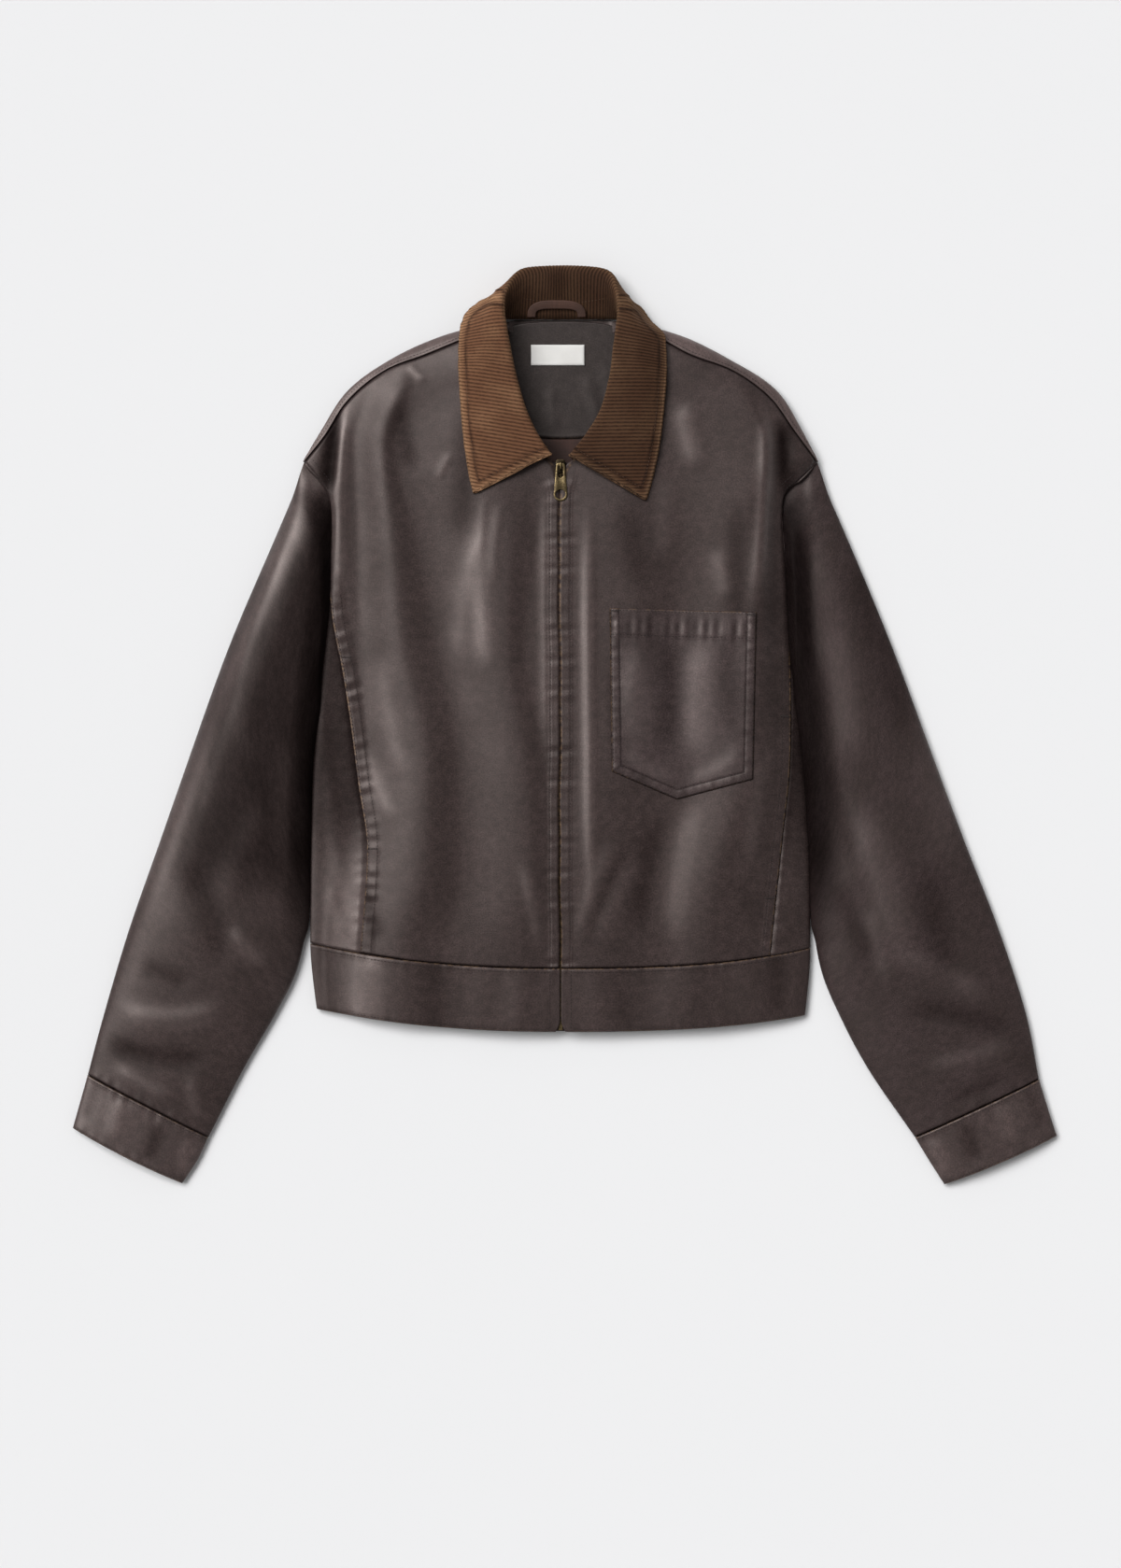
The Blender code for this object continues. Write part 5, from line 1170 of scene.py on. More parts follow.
def cuffTube(name, rows, side, node):
    def surface(u, v):
        v = gridSteps(((0, 0), (0.3, 0.16), (0.78, 0.88), (1, 1)), v)
        plan, z, bulge, s, width, top = tubePoints(rows, u % 1.0, v)
        length = 48.0
        fromSeam, fromFoot = v * length, (1 - v) * length
        onTop = np.clip(bulge * 2.5, 0, 1)
        drawn = ripple(s * width, (9.5, 13, 21), 61 + side) * np.exp(-((fromSeam / 7) ** 2))
        relief = creaseHeight(plan[:, 0], plan[:, 1], cuffCreases) + 0.45 * drawn
        relief += 0.3 * ripple(s * width, (11, 15, 27), 64 + side) * np.exp(-((fromFoot / 6) ** 2))
        relief += 0.5 * (1 - smoothStep((fromSeam - cuffPiece["stitch"] - 0.3) / 1.5))
        relief -= 0.4 * np.exp(-(((fromSeam - cuffPiece["stitch"]) / 0.7) ** 2))
        relief -= 0.25 * np.exp(-(((fromFoot - 1.8) / 0.7) ** 2))
        relief -= 0.8 * np.clip(1 - fromSeam / 1.2, 0, 1) ** 2 + 0.9 * np.clip(1 - fromFoot / 1.5, 0, 1) ** 2
        z = z + relief * onTop
        wear = 0.45 * np.exp(-((fromSeam / 0.8) ** 2)) + 0.35 * np.exp(-((fromFoot / 0.9) ** 2))
        # painted shade in the creases' troughs and painted light on their ridges, with the whole cuff
        # lightened a little
        wax = np.clip(-0.3 * creaseHeight(plan[:, 0], plan[:, 1], cuffCreases) - 0.15, -0.35, 0.3)
        around = np.where(top, s, 2 - s) * width
        return np.column_stack([plan, z]), np.column_stack([around, -v * length]), {"wear": wear, "wax": wax}

    columns, rowCount = cuffPiece["columns"], cuffPiece["rows"]
    piece = clothPiece(name, columns, rowCount, surface, "band", [node], flip=side < 0,
                       weld=0.01)
    return piece


sleeveRight = sleeveTube("sleeve_tube_right", leftSleeve, -1, leftSide, leftSleeveCreases,
                         ["sleeve_right", "under_sleeve_right"])
sleeveLeft = sleeveTube("sleeve_tube_left", rightSleeve, 1, rightSide, rightSleeveCreases,
                        ["sleeve_left", "under_sleeve_left"])
cuffRight = cuffTube("cuff_band_right", leftCuff, -1, "cuff_right")
cuffLeft = cuffTube("cuff_band_left", rightCuff, 1, "cuff_left")
print("sleeves and cuffs made")

collarPiece = {
    "wall": 2.4,
    "wale": corduroyLook["wale"],
    "columnsPerWale": 6,
    "rows": 38,
    "ribHeight": 0.42,
    "leftTilt": 9.5,  # degrees that the wales fall away on the wearer's right side
    "rightTilt": 1.0,
    "stitch": 7.0,  # from the edge to the stitching
}
collarKnots = np.array([0, 0.3, 0.42, 0.54, 0.76, 1.0])  # seam, stand, crest, fall, its middle, edge
collarCreases = tableOf(
    "fromX fromY toX toY bow height left right",
    (-60, 640, -84, 560, -3, 0.9, 8, 8),
    (-44, 560, -80, 520, 3, 0.7, 8, 10),
    (-30, 530, -70, 495, 2, -0.5, 7, 7),
    (60, 630, 84, 560, 3, 0.9, 8, 8),
    (46, 552, 82, 510, -3, 0.6, 8, 10),
    (30, 525, 66, 488, -2, -0.5, 7, 7),
)


def collarPoints(u, v):  # v runs from the neck seam up the stand, over the crest and down the fall
    stops = np.linspace(0, 1, len(collarRows["roll"]))
    cut = {name: spline(stops, column, u) for name, column in collarRows.items()}
    seam, crest, edge = (
        np.stack([cut[f"{part}{axis}"] for axis in "XYZ"], -1) for part in ("seam", "crest", "edge")
    )
    ahead = crest - (seam + edge) / 2
    ahead /= np.linalg.norm(ahead, axis=1)[:, None]
    aside = seam - edge
    aside -= (ahead * aside).sum(1)[:, None] * ahead
    aside /= np.linalg.norm(aside, axis=1)[:, None]
    roll = cut["roll"][:, None]
    stand, fall = crest + roll * (aside - 1.3 * ahead), crest - roll * (aside + 1.3 * ahead)
    onFront = smoothStep((cut["edgeZ"] - 8) / 12)
    middle = (fall + edge) / 2 + np.array([0, 0, 1.0]) * 0.6 * roll * onFront[:, None]
    lines = np.stack([seam, stand, crest, fall, middle, edge])
    points = np.stack([spline(collarKnots, lines[:, :, axis], v) for axis in range(3)], -1)
    x, y = points[:, 0], points[:, 1]
    resting = frontHeight(x, y) + 0.5 + collarPiece["wall"] / 2
    points[:, 2] += np.maximum(resting - points[:, 2], 0) * smoothStep((v - 0.38) / 0.1) * onFront
    points[:, 2] += creaseHeight(x, y, collarCreases) * smoothStep((v - 0.5) / 0.2) * onFront
    return points


def waleLines(u, v):
    # place across the wales in mm: along the crest at the back, and straight down the front on the falls
    stops = np.linspace(0, 1, 400)
    crest = collarPoints(stops, 0 * stops + 0.42)
    around = np.concatenate([[0], np.cumsum(np.linalg.norm(np.diff(crest, axis=0), axis=1))])
    atCrest = np.interp(u, stops, around)
    points = collarPoints(u, v)
    left, right = math.radians(collarPiece["leftTilt"]), math.radians(collarPiece["rightTilt"])
    turnLeft, turnRight = (np.interp(side, stops, around) for side in (0.27, 0.73))
    edgeLeft, edgeRight = collarPoints(np.array([0.27, 0.73]), np.array([0.42, 0.42]))
    down = (points[:, 0] - edgeLeft[0]) * math.sin(left) + (points[:, 1] - edgeLeft[1]) * math.cos(left)
    fromRight = points[:, :2] - edgeRight[:2]
    downRight = -fromRight[:, 0] * math.sin(right) + fromRight[:, 1] * math.cos(right)
    onLeft, onRight = turnLeft + down, turnRight - downRight
    front = np.where(u < 0.5, onLeft, onRight)
    share = smoothStep((np.abs(u - 0.5) - 0.19) / 0.12)
    return atCrest * (1 - share) + front * share


def makeCollar():
    samples = np.linspace(0, 1, 500)
    rowCount = collarPiece["rows"]
    rowPlaces = gridSteps(((0, 0), (0.2, 0.3), (0.5, 0.54), (0.86, 0.93), (1, 1)),
                          np.linspace(0, 1, rowCount + 1))
    across = [waleLines(samples, 0 * samples + v) for v in rowPlaces]
    across = [np.maximum.accumulate(q + 1e-4 * samples) for q in across]
    low, high = min(q[0] for q in across), max(q[-1] for q in across)
    columns = int((high - low) / collarPiece["wale"] * collarPiece["columnsPerWale"])
    print("collar columns:", columns)

    def surface(u, v):
        row = np.rint(v * rowCount).astype(int)
        q = low + u * (high - low)
        at = np.empty_like(u)
        for k in range(rowCount + 1):
            at[row == k] = np.interp(q[row == k], across[k], samples)
        depth = rowPlaces[row]
        points = collarPoints(at, depth)
        small = 1e-3
        alongU = collarPoints(np.minimum(at + small, 1), depth)
        alongU = alongU - collarPoints(np.maximum(at - small, 0), depth)
        alongV = collarPoints(at, np.minimum(depth + small, 1))
        alongV = alongV - collarPoints(at, np.maximum(depth - small, 0))
        normal = -np.cross(alongU, alongV)
        normal /= np.linalg.norm(normal, axis=1)[:, None]
        edgeLine = collarPoints(samples, 0 * samples + 1)
        fromEdge = nearest(points[:, 0], points[:, 1], edgeLine[::6, :2])[0]
        leads = [collarPoints(np.full(30, end), np.linspace(0.42, 1, 30))[:, :2] for end in (0.0, 1.0)]
        fromLead = np.minimum(*(nearest(points[:, 0], points[:, 1], lead)[0] for lead in leads))
        onFall = smoothStep((depth - 0.4) / 0.06)
        d = np.minimum(fromEdge + 60 * (1 - onFall), fromLead + 60 * (depth < 0.36))
        rib = np.abs(np.sin(math.pi * q / collarPiece["wale"])) ** 0.7
        uneven = 0.82 + 0.18 * ripple(points[:, 1] + points[:, 0] * 0.6, (17, 29, 43), 71)
        groove = 0.5 * np.exp(-(((d - collarPiece["stitch"]) / 0.9) ** 2))
        atStitch = np.exp(-(((d - collarPiece["stitch"]) / 1.0) ** 2))
        flattened = 1 - 0.7 * atStitch - 0.5 * np.clip(1 - d / 1.2, 0, 1)
        relief = collarPiece["ribHeight"] * rib * uneven * flattened - groove
        relief -= 0.9 * np.clip(1 - d / 1.6, 0, 1) ** 2
        relief += 0.25 * ripple(points[:, 0] + points[:, 1], (13, 21), 72) * np.exp(-((d / 9) ** 2))
        standCrease = np.exp(-(((depth - 0.2) / 0.02) ** 2)) * smoothStep((0.2 - np.abs(at - 0.5)) / 0.05)
        relief -= 0.5 * standCrease
        points = points + normal * relief[:, None]
        wear = 0.9 * np.exp(-((d / 1.5) ** 2)) + 0.25 * np.exp(-(((d - 3) / 2) ** 2))
        wear += 0.45 * np.exp(-(((depth - 0.42) / 0.035) ** 2))
        cloth = np.column_stack([q, depth * 80])
        # painted light on the wearer's right fall, painted shade on the left fall and the stand
        nap = smoothStep((depth - 0.42) / 0.1) * smoothStep((0.5 - at) / 0.12)
        nap += 0.15 * smoothStep((depth - 0.3) / 0.1)
        return points, cloth, {"cord": rib * flattened, "wear": wear, "nap": nap}

    piece = clothPiece("collar_corduroy", columns, rowCount, surface, "corduroy", ["collar"],
                       wall=collarPiece["wall"], flip=True, offset=0.0, weld=0.002)
    return piece


collar = makeCollar()
print("collar made")


# the patch pocket on the chest
pocketPiece = {
    "corners": ((43.5, 378), (174, 374.5), (171, 226), (103.5, 208), (45.5, 233)),
    "columns": 104,
    "rows": 116,
    "lift": 1.8,  # its own wall and the gap below it
    "hem": 24.0,  # depth of the turned hem at the mouth
    "edgeStitch": 1.3,
    "innerStitch": 8.3,
}
pocketCreases = tableOf(
    "fromX fromY toX toY bow height left right",
    (70, 345, 74, 250, 3, 0.8, 14, 16),
    (100, 350, 96, 250, -2, -0.7, 12, 12),
    (128, 350, 124, 240, 3, 0.9, 14, 16),
    (152, 352, 156, 260, 2, -0.5, 10, 12),
    (60, 250, 100, 224, 3, 0.7, 8, 8),
    (160, 250, 116, 224, -3, 0.6, 8, 8),
)


def chestPocket():
    a, b, c, d, e = (np.array(corner, float) for corner in pocketPiece["corners"])
    outline = np.array([a, e, d, c, b])
    mouth = np.array([a, b])

    def surface(u, v):
        u = gridSteps(((0, 0), (0.12, 0.08), (0.88, 0.92), (1, 1)), u)
        v = gridSteps(((0, 0), (0.1, 0.07), (0.72, 0.78), (1, 1)), v)
        middle = (d[0] - e[0]) / (c[0] - e[0])
        foot = np.where((u < middle)[:, None], e + (d - e) * (u / middle)[:, None],
                        d + (c - d) * ((u - middle) / (1 - middle))[:, None])
        head = a + (b - a) * u[:, None]
        plan = foot + (head - foot) * v[:, None]
        x, y = plan[:, 0], plan[:, 1]
        sides, alongSides = nearest(x, y, outline)
        top, alongTop = nearest(x, y, mouth)
        z = frontHeight(x, y) + pocketPiece["lift"]
        z = z + creaseHeight(x, y, pocketCreases) * smoothStep(sides / 14)
        z += 0.45 * (1 - smoothStep((top - pocketPiece["hem"]) / 1.4))
        z += 0.3 * np.exp(-((sides - 5) / 3.2) ** 2)
        z -= 0.35 * np.exp(-(((top - pocketPiece["hem"] + 0.6) / 0.8) ** 2))
        for stitch in (pocketPiece["edgeStitch"], pocketPiece["innerStitch"]):
            z -= 0.28 * np.exp(-(((sides - stitch) / 0.7) ** 2))
        z -= 1.1 * np.clip(1 - sides / 1.1, 0, 1) ** 2 + 0.6 * np.clip(1 - top / 1.3, 0, 1) ** 2
        puckers = ripple(alongTop, (8.5, 12, 19), 81) * np.exp(-(((top - 17) / 9) ** 2))
        z += 0.42 * puckers + 0.25 * ripple(alongSides, (9, 14, 23), 83) * np.exp(-(((sides - 4) / 5) ** 2))
        wear = 0.6 * np.exp(-((sides / 0.9) ** 2)) * (0.3 + 0.5 * (x < 60))
        wear += 0.4 * np.exp(-((top / 1.0) ** 2))
        # painted shade along the pocket's edge, its inner stitching and the creases' troughs; painted light
        # on the creases' ridges and the puckers' tops
        wax = np.clip(-0.3 * creaseHeight(x, y, pocketCreases), -0.25, 0.35)
        wax += 0.7 * np.exp(-((sides / 0.9) ** 2))
        wax += 0.3 * np.exp(-(((sides - pocketPiece["innerStitch"]) / 0.9) ** 2))
        wax -= 0.25 * puckers
        return np.column_stack([x, y, z]), plan, {"wear": wear, "wax": wax}

    piece = clothPiece("pocket_patch", pocketPiece["columns"], pocketPiece["rows"], surface, "pocket",
                       ["chest_pocket"])
    return piece


pocket = chestPocket()
print("chest pocket made")


# inside the neck: facing, lining, label and hanger loop
insidePiece = {
    "clothTop": 2.8,  # height of the facing's face above the surface
    "facingWall": 1.0,
    "labelMiddle": (-2.5, 606.0),
    "labelSize": (48.0, 18.5),
    "labelTop": 3.9,
    "labelWall": 0.8,
}
facingFoot = tableOf("x y", (-95, 548), (-40, 535), (0, 531), (44, 535), (99, 548))
facingTop = tableOf(
    "x y", (-95, 600), (-62, 600), (-50, 608), (-44, 632), (3, 636.5), (47, 632), (54, 608), (66, 600),
    (99, 600)
)
facingCreases = tableOf(
    "fromX fromY toX toY bow height left right",
    (-44, 600, -20, 545, 3, 0.35, 5, 7),
    (20, 590, 34, 545, -2, 0.5, 5, 6),
    (38, 596, 50, 552, -2, 0.4, 4, 6),
    (-8, 580, -4, 540, 1, 0.3, 5, 5),
    (-70, 585, -50, 552, 2, 0.4, 6, 6),
)


def neckFacing():
    foot, top = path(facingFoot), path(facingTop)

    def surface(u, v):
        plan = foot(u) * (1 - v[:, None]) + top(u) * v[:, None]
        x, y = plan[:, 0], plan[:, 1]
        fromFoot = (y - foot(u)[:, 1])
        clear = smoothStep((np.hypot((x + 2.5) / 1.3, y - 606) - 22) / 14)
        raised = np.maximum(creaseHeight(x, y, facingCreases), 0) * clear
        z = insidePiece["clothTop"] + raised * smoothStep(fromFoot / 8)
        z += 0.25 * np.exp(-(((fromFoot - 1.6) / 1.2) ** 2)) - 0.4 * np.clip(1 - fromFoot / 1.0, 0, 1)
        return np.column_stack([x, y, z]), plan, {"wear": 0.3 * np.exp(-((fromFoot / 0.8) ** 2))}

    piece = clothPiece("facing_half_moon", 150, 64, surface, "facing", ["neck_facing"],
                       wall=insidePiece["facingWall"])
    return piece


liningCreases = tableOf(
    "fromX fromY toX toY bow height left right",
    (-30, 534, -50, 430, 2, 0.8, 6, 8),
    (10, 530, 4, 440, -2, 0.6, 6, 7),
    (36, 532, 60, 430, -2, 0.8, 7, 6),
    (-70, 530, -100, 360, 4, 0.8, 10, 10),
    (80, 530, 110, 360, -4, 0.8, 10, 10),
)


def backLining():
    top = path(facingFoot)

    def surface(u, v):
        v = gridSteps(((0, 0), (0.4, 0.75), (1, 1)), v)
        head = top(u)
        foot = np.stack([-200 + 400 * u, np.full_like(u, 90.0)], -1)
        head[:, 0] *= 2.05
        head[:, 1] -= 0.4
        plan = foot * (1 - v[:, None]) + head * v[:, None]
        x, y = plan[:, 0], plan[:, 1]
        fromTop = head[:, 1] - y
        z = insidePiece["clothTop"] + np.maximum(backLift(x, y), 0)
        z += np.maximum(creaseHeight(x, y, liningCreases), 0) * smoothStep(fromTop / 12)
        gathered = np.exp(-((fromTop / 14) ** 2)) * smoothStep(fromTop / 2)
        z += 0.15 * (1 + ripple(x, (11, 17, 26), 91)) * gathered
        return np.column_stack([x, y, z]), plan, {}

    piece = clothPiece("lining_back", 120, 90, surface, "lining", ["back_lining"],
                       wall=insidePiece["facingWall"])
    return piece


def neckLabel():
    middle, size = insidePiece["labelMiddle"], insidePiece["labelSize"]

    def surface(u, v):
        x, y = middle[0] + (u - 0.5) * size[0], middle[1] + (v - 0.5) * size[1]
        d = np.minimum(size[0] / 2 - np.abs(x - middle[0]), size[1] / 2 - np.abs(y - middle[1]))
        z = insidePiece["labelTop"] - 0.3 * np.clip(1 - d / 0.8, 0, 1) ** 2
        z += 0.12 * np.exp(-(((d - 2.0) / 0.5) ** 2)) + 0.18 * (1 + np.sin(x / 9)) * smoothStep(d / 3)
        return np.column_stack([x, y, z]), np.column_stack([x, y]), {}

    piece = clothPiece("label_bare", 60, 26, surface, "label", ["neck_label"],
                       wall=insidePiece["labelWall"])
    return piece


loopPiece = {"left": -26.0, "right": 19.0, "foot": 639.5, "reach": 11.0, "width": 6.5, "wall": 1.0,
             "arch": 0.62}


def hangerLoop():
    middle, half = (loopPiece["left"] + loopPiece["right"]) / 2, (loopPiece["right"] - loopPiece["left"]) / 2

    def surface(u, v):
        angle = math.pi * (1 - u)
        across = np.sign(np.cos(angle)) * np.abs(np.cos(angle)) ** loopPiece["arch"]
        up = np.maximum(np.sin(angle), 0) ** loopPiece["arch"]
        centre = np.stack([middle + half * across, loopPiece["foot"] + loopPiece["reach"] * up], -1)
        outward = np.stack([np.cos(angle), np.sin(angle)], -1)
        plan = centre + outward * ((0.5 - v) * loopPiece["width"])[:, None]
        plan[:, 1] = np.maximum(plan[:, 1], loopPiece["foot"] - 0.5)
        d = (0.5 - np.abs(v - 0.5)) * loopPiece["width"]
        rise = 5.3 + 0.3 * (plan[:, 1] - loopPiece["foot"]) + loopPiece["wall"]
        z = rise - 0.35 * np.clip(1 - d / 0.9, 0, 1) ** 2 - 0.15 * np.exp(-(((d - 1.3) / 0.3) ** 2))
        return np.column_stack([plan, z]), np.column_stack([u * 60, (v - 0.5) * loopPiece["width"]]), {}

    piece = clothPiece("loop_tape", 96, 14, surface, "loop", ["hanger_loop"],
                       wall=loopPiece["wall"])
    return piece


facing = neckFacing()
lining = backLining()
label = neckLabel()
loop = hangerLoop()
print("inside of the neck made")


# the zip
zipPiece = {
    "tapeInner": 2.3,
    "tapeOuter": 15.0,
    "tapeWall": 1.0,
    "foot": 3.0,
    "top": 508.0,
    "toothPitch": 2.54,  # mm between teeth on one side
    "toothSize": (2.7, 1.15, 1.9),
    "chainFoot": 14.0,
    "chainTop": 500.0,
}


def zipTape(name, sign, node):
    def surface(u, v):
        tapeWidth = zipPiece["tapeOuter"] - zipPiece["tapeInner"]
        across = zipPiece["tapeInner"] + (u if sign > 0 else 1 - u) * tapeWidth
        x, y = sign * across, zipPiece["foot"] + v * (zipPiece["top"] - zipPiece["foot"])
        z = frontHeight(x, y, creased=False) - body["wall"] - 0.4
        cord = 0.35 * np.exp(-(((across - zipPiece["tapeInner"]) / 0.8) ** 2))
        return np.column_stack([x, y, z - 0.35 + cord]), np.column_stack([x, y]), {}

    piece = clothPiece(name, 12, 200, surface, "tape", [node], wall=zipPiece["tapeWall"])
    return piece


def repeated(name, template, places):  # one mesh from a small template at many places
    bm = bmesh.new()
    for matrix in places:
        copy = template.copy()
        copy.transform(matrix)
        bm.from_mesh(copy)
        bpy.data.meshes.remove(copy)
    mesh = bpy.data.meshes.new(name)
    bm.to_mesh(mesh)
    bm.free()
    return bpy.data.objects.new(name, mesh)


def zipTeeth():
    # cast teeth in two rows that interlock along the zip's middle
    bm = bmesh.new()
    bmesh.ops.create_cube(bm, size=1)
    bmesh.ops.scale(bm, verts=bm.verts, vec=np.array(zipPiece["toothSize"]) * mm)
    bmesh.ops.bevel(bm, geom=bm.edges[:], offset=0.3 * mm, segments=1, affect="EDGES", profile=0.5,
                    material=-1)
    tooth = bpy.data.meshes.new("tooth")
    bm.to_mesh(tooth)
    bm.free()
    count = int((zipPiece["chainTop"] - zipPiece["chainFoot"]) / zipPiece["toothPitch"])
    places = []
    for side in (-1, 1):
        y = zipPiece["chainFoot"] + (np.arange(count) + 0.25 * (1 + side)) * zipPiece["toothPitch"]
        z = frontHeight(0 * y, y, creased=False) - body["wall"] - 0.3 - zipPiece["toothSize"][2] / 2
        x = side * 0.55 + zipWave(y) * smoothStep((495 - y) / 20)
        places += [Matrix.Translation(point) for point in place(np.column_stack([x, y, z]))]
    piece = repeated("zip_teeth", tooth, places)
    piece.data.shade_smooth()
    piece.data.set_sharp_from_angle(angle=math.radians(35))
    return finishPiece(piece, "brass", ["zip_chain"])


tapeRight = zipTape("tape_right", -1, "zip_tape_right")
tapeLeft = zipTape("tape_left", 1, "zip_tape_left")
teeth = zipTeeth()
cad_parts["zip_box"].data.materials.clear()
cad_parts["zip_box"].data.materials.append(finishes["brass"])
print("zip made")
# stitches: single threads laid on the cloth, found by looking down onto each piece
stitchPiece = {"pitch": 3.1, "length": 2.4, "width": 0.6, "height": 0.45, "tackPitch": 0.8, "tackWidth": 2.4}


def treeOf(piece):
    bm = bmesh.new()
    bm.from_mesh(piece.data)
    tree = BVHTree.FromBMesh(bm)
    bm.free()
    return tree


def inside(line, distance):  # a run of points moved sideways, to its left when distance is positive
    run = np.diff(line, axis=0)
    run /= np.linalg.norm(run, axis=1)[:, None]
    side = np.stack([-run[:, 1], run[:, 0]], -1)
    mean = np.concatenate([side[:1], side[:-1] + side[1:], side[-1:]])
    mean /= (mean * np.concatenate([side[:1], side])).sum(1)[:, None]
    return line + distance * mean


def evenly(line, pitch):  # places along a run of points and the direction at each
    run = np.diff(line, axis=0)
    length = np.concatenate([[0], np.cumsum(np.linalg.norm(run, axis=1))])
    at = np.arange(pitch / 2, length[-1], pitch)
    middle = np.stack([np.interp(at, length, line[:, k]) for k in (0, 1)], -1)
    k = np.clip(np.searchsorted(length, at) - 1, 0, len(run) - 1)
    return middle, run[k] / np.linalg.norm(run[k], axis=1)[:, None]


def stitchPlaces(trees, line, below=False, tack=False):
    pitch = stitchPiece["tackPitch" if tack else "pitch"]
    length = stitchPiece["tackWidth" if tack else "length"]
    start, down = (-0.05, Vector((0, 0, 1))) if below else (0.09, Vector((0, 0, -1)))
    found = []
    for middle, along in zip(*evenly(np.asarray(line, float), pitch)):
        along = np.array([-along[1], along[0]]) if tack else along
        hits = []
        for placePlan in (middle - along * length / 2, middle, middle + along * length / 2):
            x, y, _ = place((*placePlan, 0))
            straightDown = [tree.ray_cast(Vector((x, y, start)), down) for tree in trees]
            straightDown = [hit for hit in straightDown if hit[0] is not None]
            if straightDown:
                hits.append(min(straightDown, key=lambda hit: hit[3]))
        if len(hits) < 3:
            continue
        ahead = (hits[2][0] - hits[0][0]).normalized()
        up = -down - ahead * ahead.dot(-down)
        up.normalize()
        turn = Matrix((ahead, up.cross(ahead), up)).transposed().to_4x4()
        found.append(Matrix.Translation(hits[1][0] + up * 0.05 * mm) @ turn)
    return found


def stitches(name, places, finish="thread"):
    bm = bmesh.new()
    bmesh.ops.create_icosphere(bm, subdivisions=1, radius=0.5)
    size = np.array([stitchPiece[part] for part in ("length", "width", "height")]) * mm
    bmesh.ops.scale(bm, verts=bm.verts, vec=size)
    grain = bpy.data.meshes.new("stitch")
    bm.to_mesh(grain)
    bm.free()
    piece = repeated(name, grain, places)
    piece.data.shade_smooth()
    return finishPiece(piece, finish)


def sewFronts():
    trees = [treeOf(frontRight), treeOf(frontLeft)]
    y = np.linspace(76, 482, 90)
    lines = [np.column_stack([side * (body["slit"] + 8.5) + 0.69 * zipWave(y), y]) for side in (-1, 1)]
    right, left = lineOf(leftPocketSeam, 70), lineOf(rightPocketSeam, 70)
    lines += [inside(right, -row) for row in frontPiece["rightSeam"]["stitch"]]
    lines += [inside(left, row) for row in frontPiece["leftSeam"]["stitch"]]
    for rows, side in ((leftSide, -1), (rightSide, 1)):
        hole = atHeights(rows, np.linspace(484, 507, 30))
        lines += [inside(hole, side * 1.5), inside(hole, side * 7.0)]
    places = [found for line in lines for found in stitchPlaces(trees, line)]
    mouths = ((right, 335, 1), (right, 164, 1), (left, 282, -1), (left, 120, -1))
    for line, height, side in mouths:
        x = float(np.interp(height, line[:, 1], line[:, 0]))
        places += stitchPlaces(trees, [(x + side * 0.8, height), (x + side * 9.5, height)], tack=True)
    return stitches("stitches_fronts", places)


def sewBand():
    trees = [treeOf(waistband)]
    places = []
    for low, high in ((-216, -11), (11, 214)):
        x = np.linspace(low, high, 60)
        seam, foot = bandLine(x, True) - bandPiece["stitch"], bandLine(x, False) + 2.2
        places += stitchPlaces(trees, np.column_stack([x, seam]))
        places += stitchPlaces(trees, np.column_stack([x, foot]))
    for x in (-9.4, 9.4):
        places += stitchPlaces(trees, [(x, 3.5), (x, 55)])
    x = np.linspace(-212, 210, 90)
    places += stitchPlaces(trees, np.column_stack([x, bandLine(x, True) - bandPiece["stitch"]]), below=True)
    return stitches("stitches_band", places)


def sewCuffs():
    places = []
    for piece, rows in ((cuffRight, leftCuff), (cuffLeft, rightCuff)):
        trees = [treeOf(piece)]
        for v in (cuffPiece["stitch"] / 48, 1 - 1.8 / 48):
            over, under = np.linspace(0.02, 0.58, 60), np.linspace(0.64, 0.96, 40)
            places += stitchPlaces(trees, tubePoints(rows, over, np.full(60, v))[0])
            places += stitchPlaces(trees, tubePoints(rows, under, np.full(40, v))[0], below=True)
    return stitches("stitches_cuffs", places)


def sewShoulders():
    trees = [treeOf(back)]
    lines = inside(lineOf(leftShoulderSeam), 3.0), inside(lineOf(rightShoulderSeam), -3.0)
    return stitches("stitches_shoulders", [found for line in lines for found in stitchPlaces(trees, line)])


def sewPocket():
    trees = [treeOf(pocket)]
    a, b, c, d, e = (np.array(corner, float) for corner in pocketPiece["corners"])
    outline = np.array([a, e, d, c, b])
    lines = [inside(outline, pocketPiece["edgeStitch"]), inside(outline, pocketPiece["innerStitch"])]
    for depth in (1.6, pocketPiece["hem"] - 0.6):
        lines.append(np.array([a + (1.5, -depth), b + (-1.5, -depth)]))
    places = [found for line in lines for found in stitchPlaces(trees, line)]
    for corner, side in ((a, 1), (b, -1)):
        places += stitchPlaces(trees, [corner + (side * 1.0, -2.6), corner + (side * 8.5, -2.6)], tack=True)
    return stitches("stitches_pocket", places)


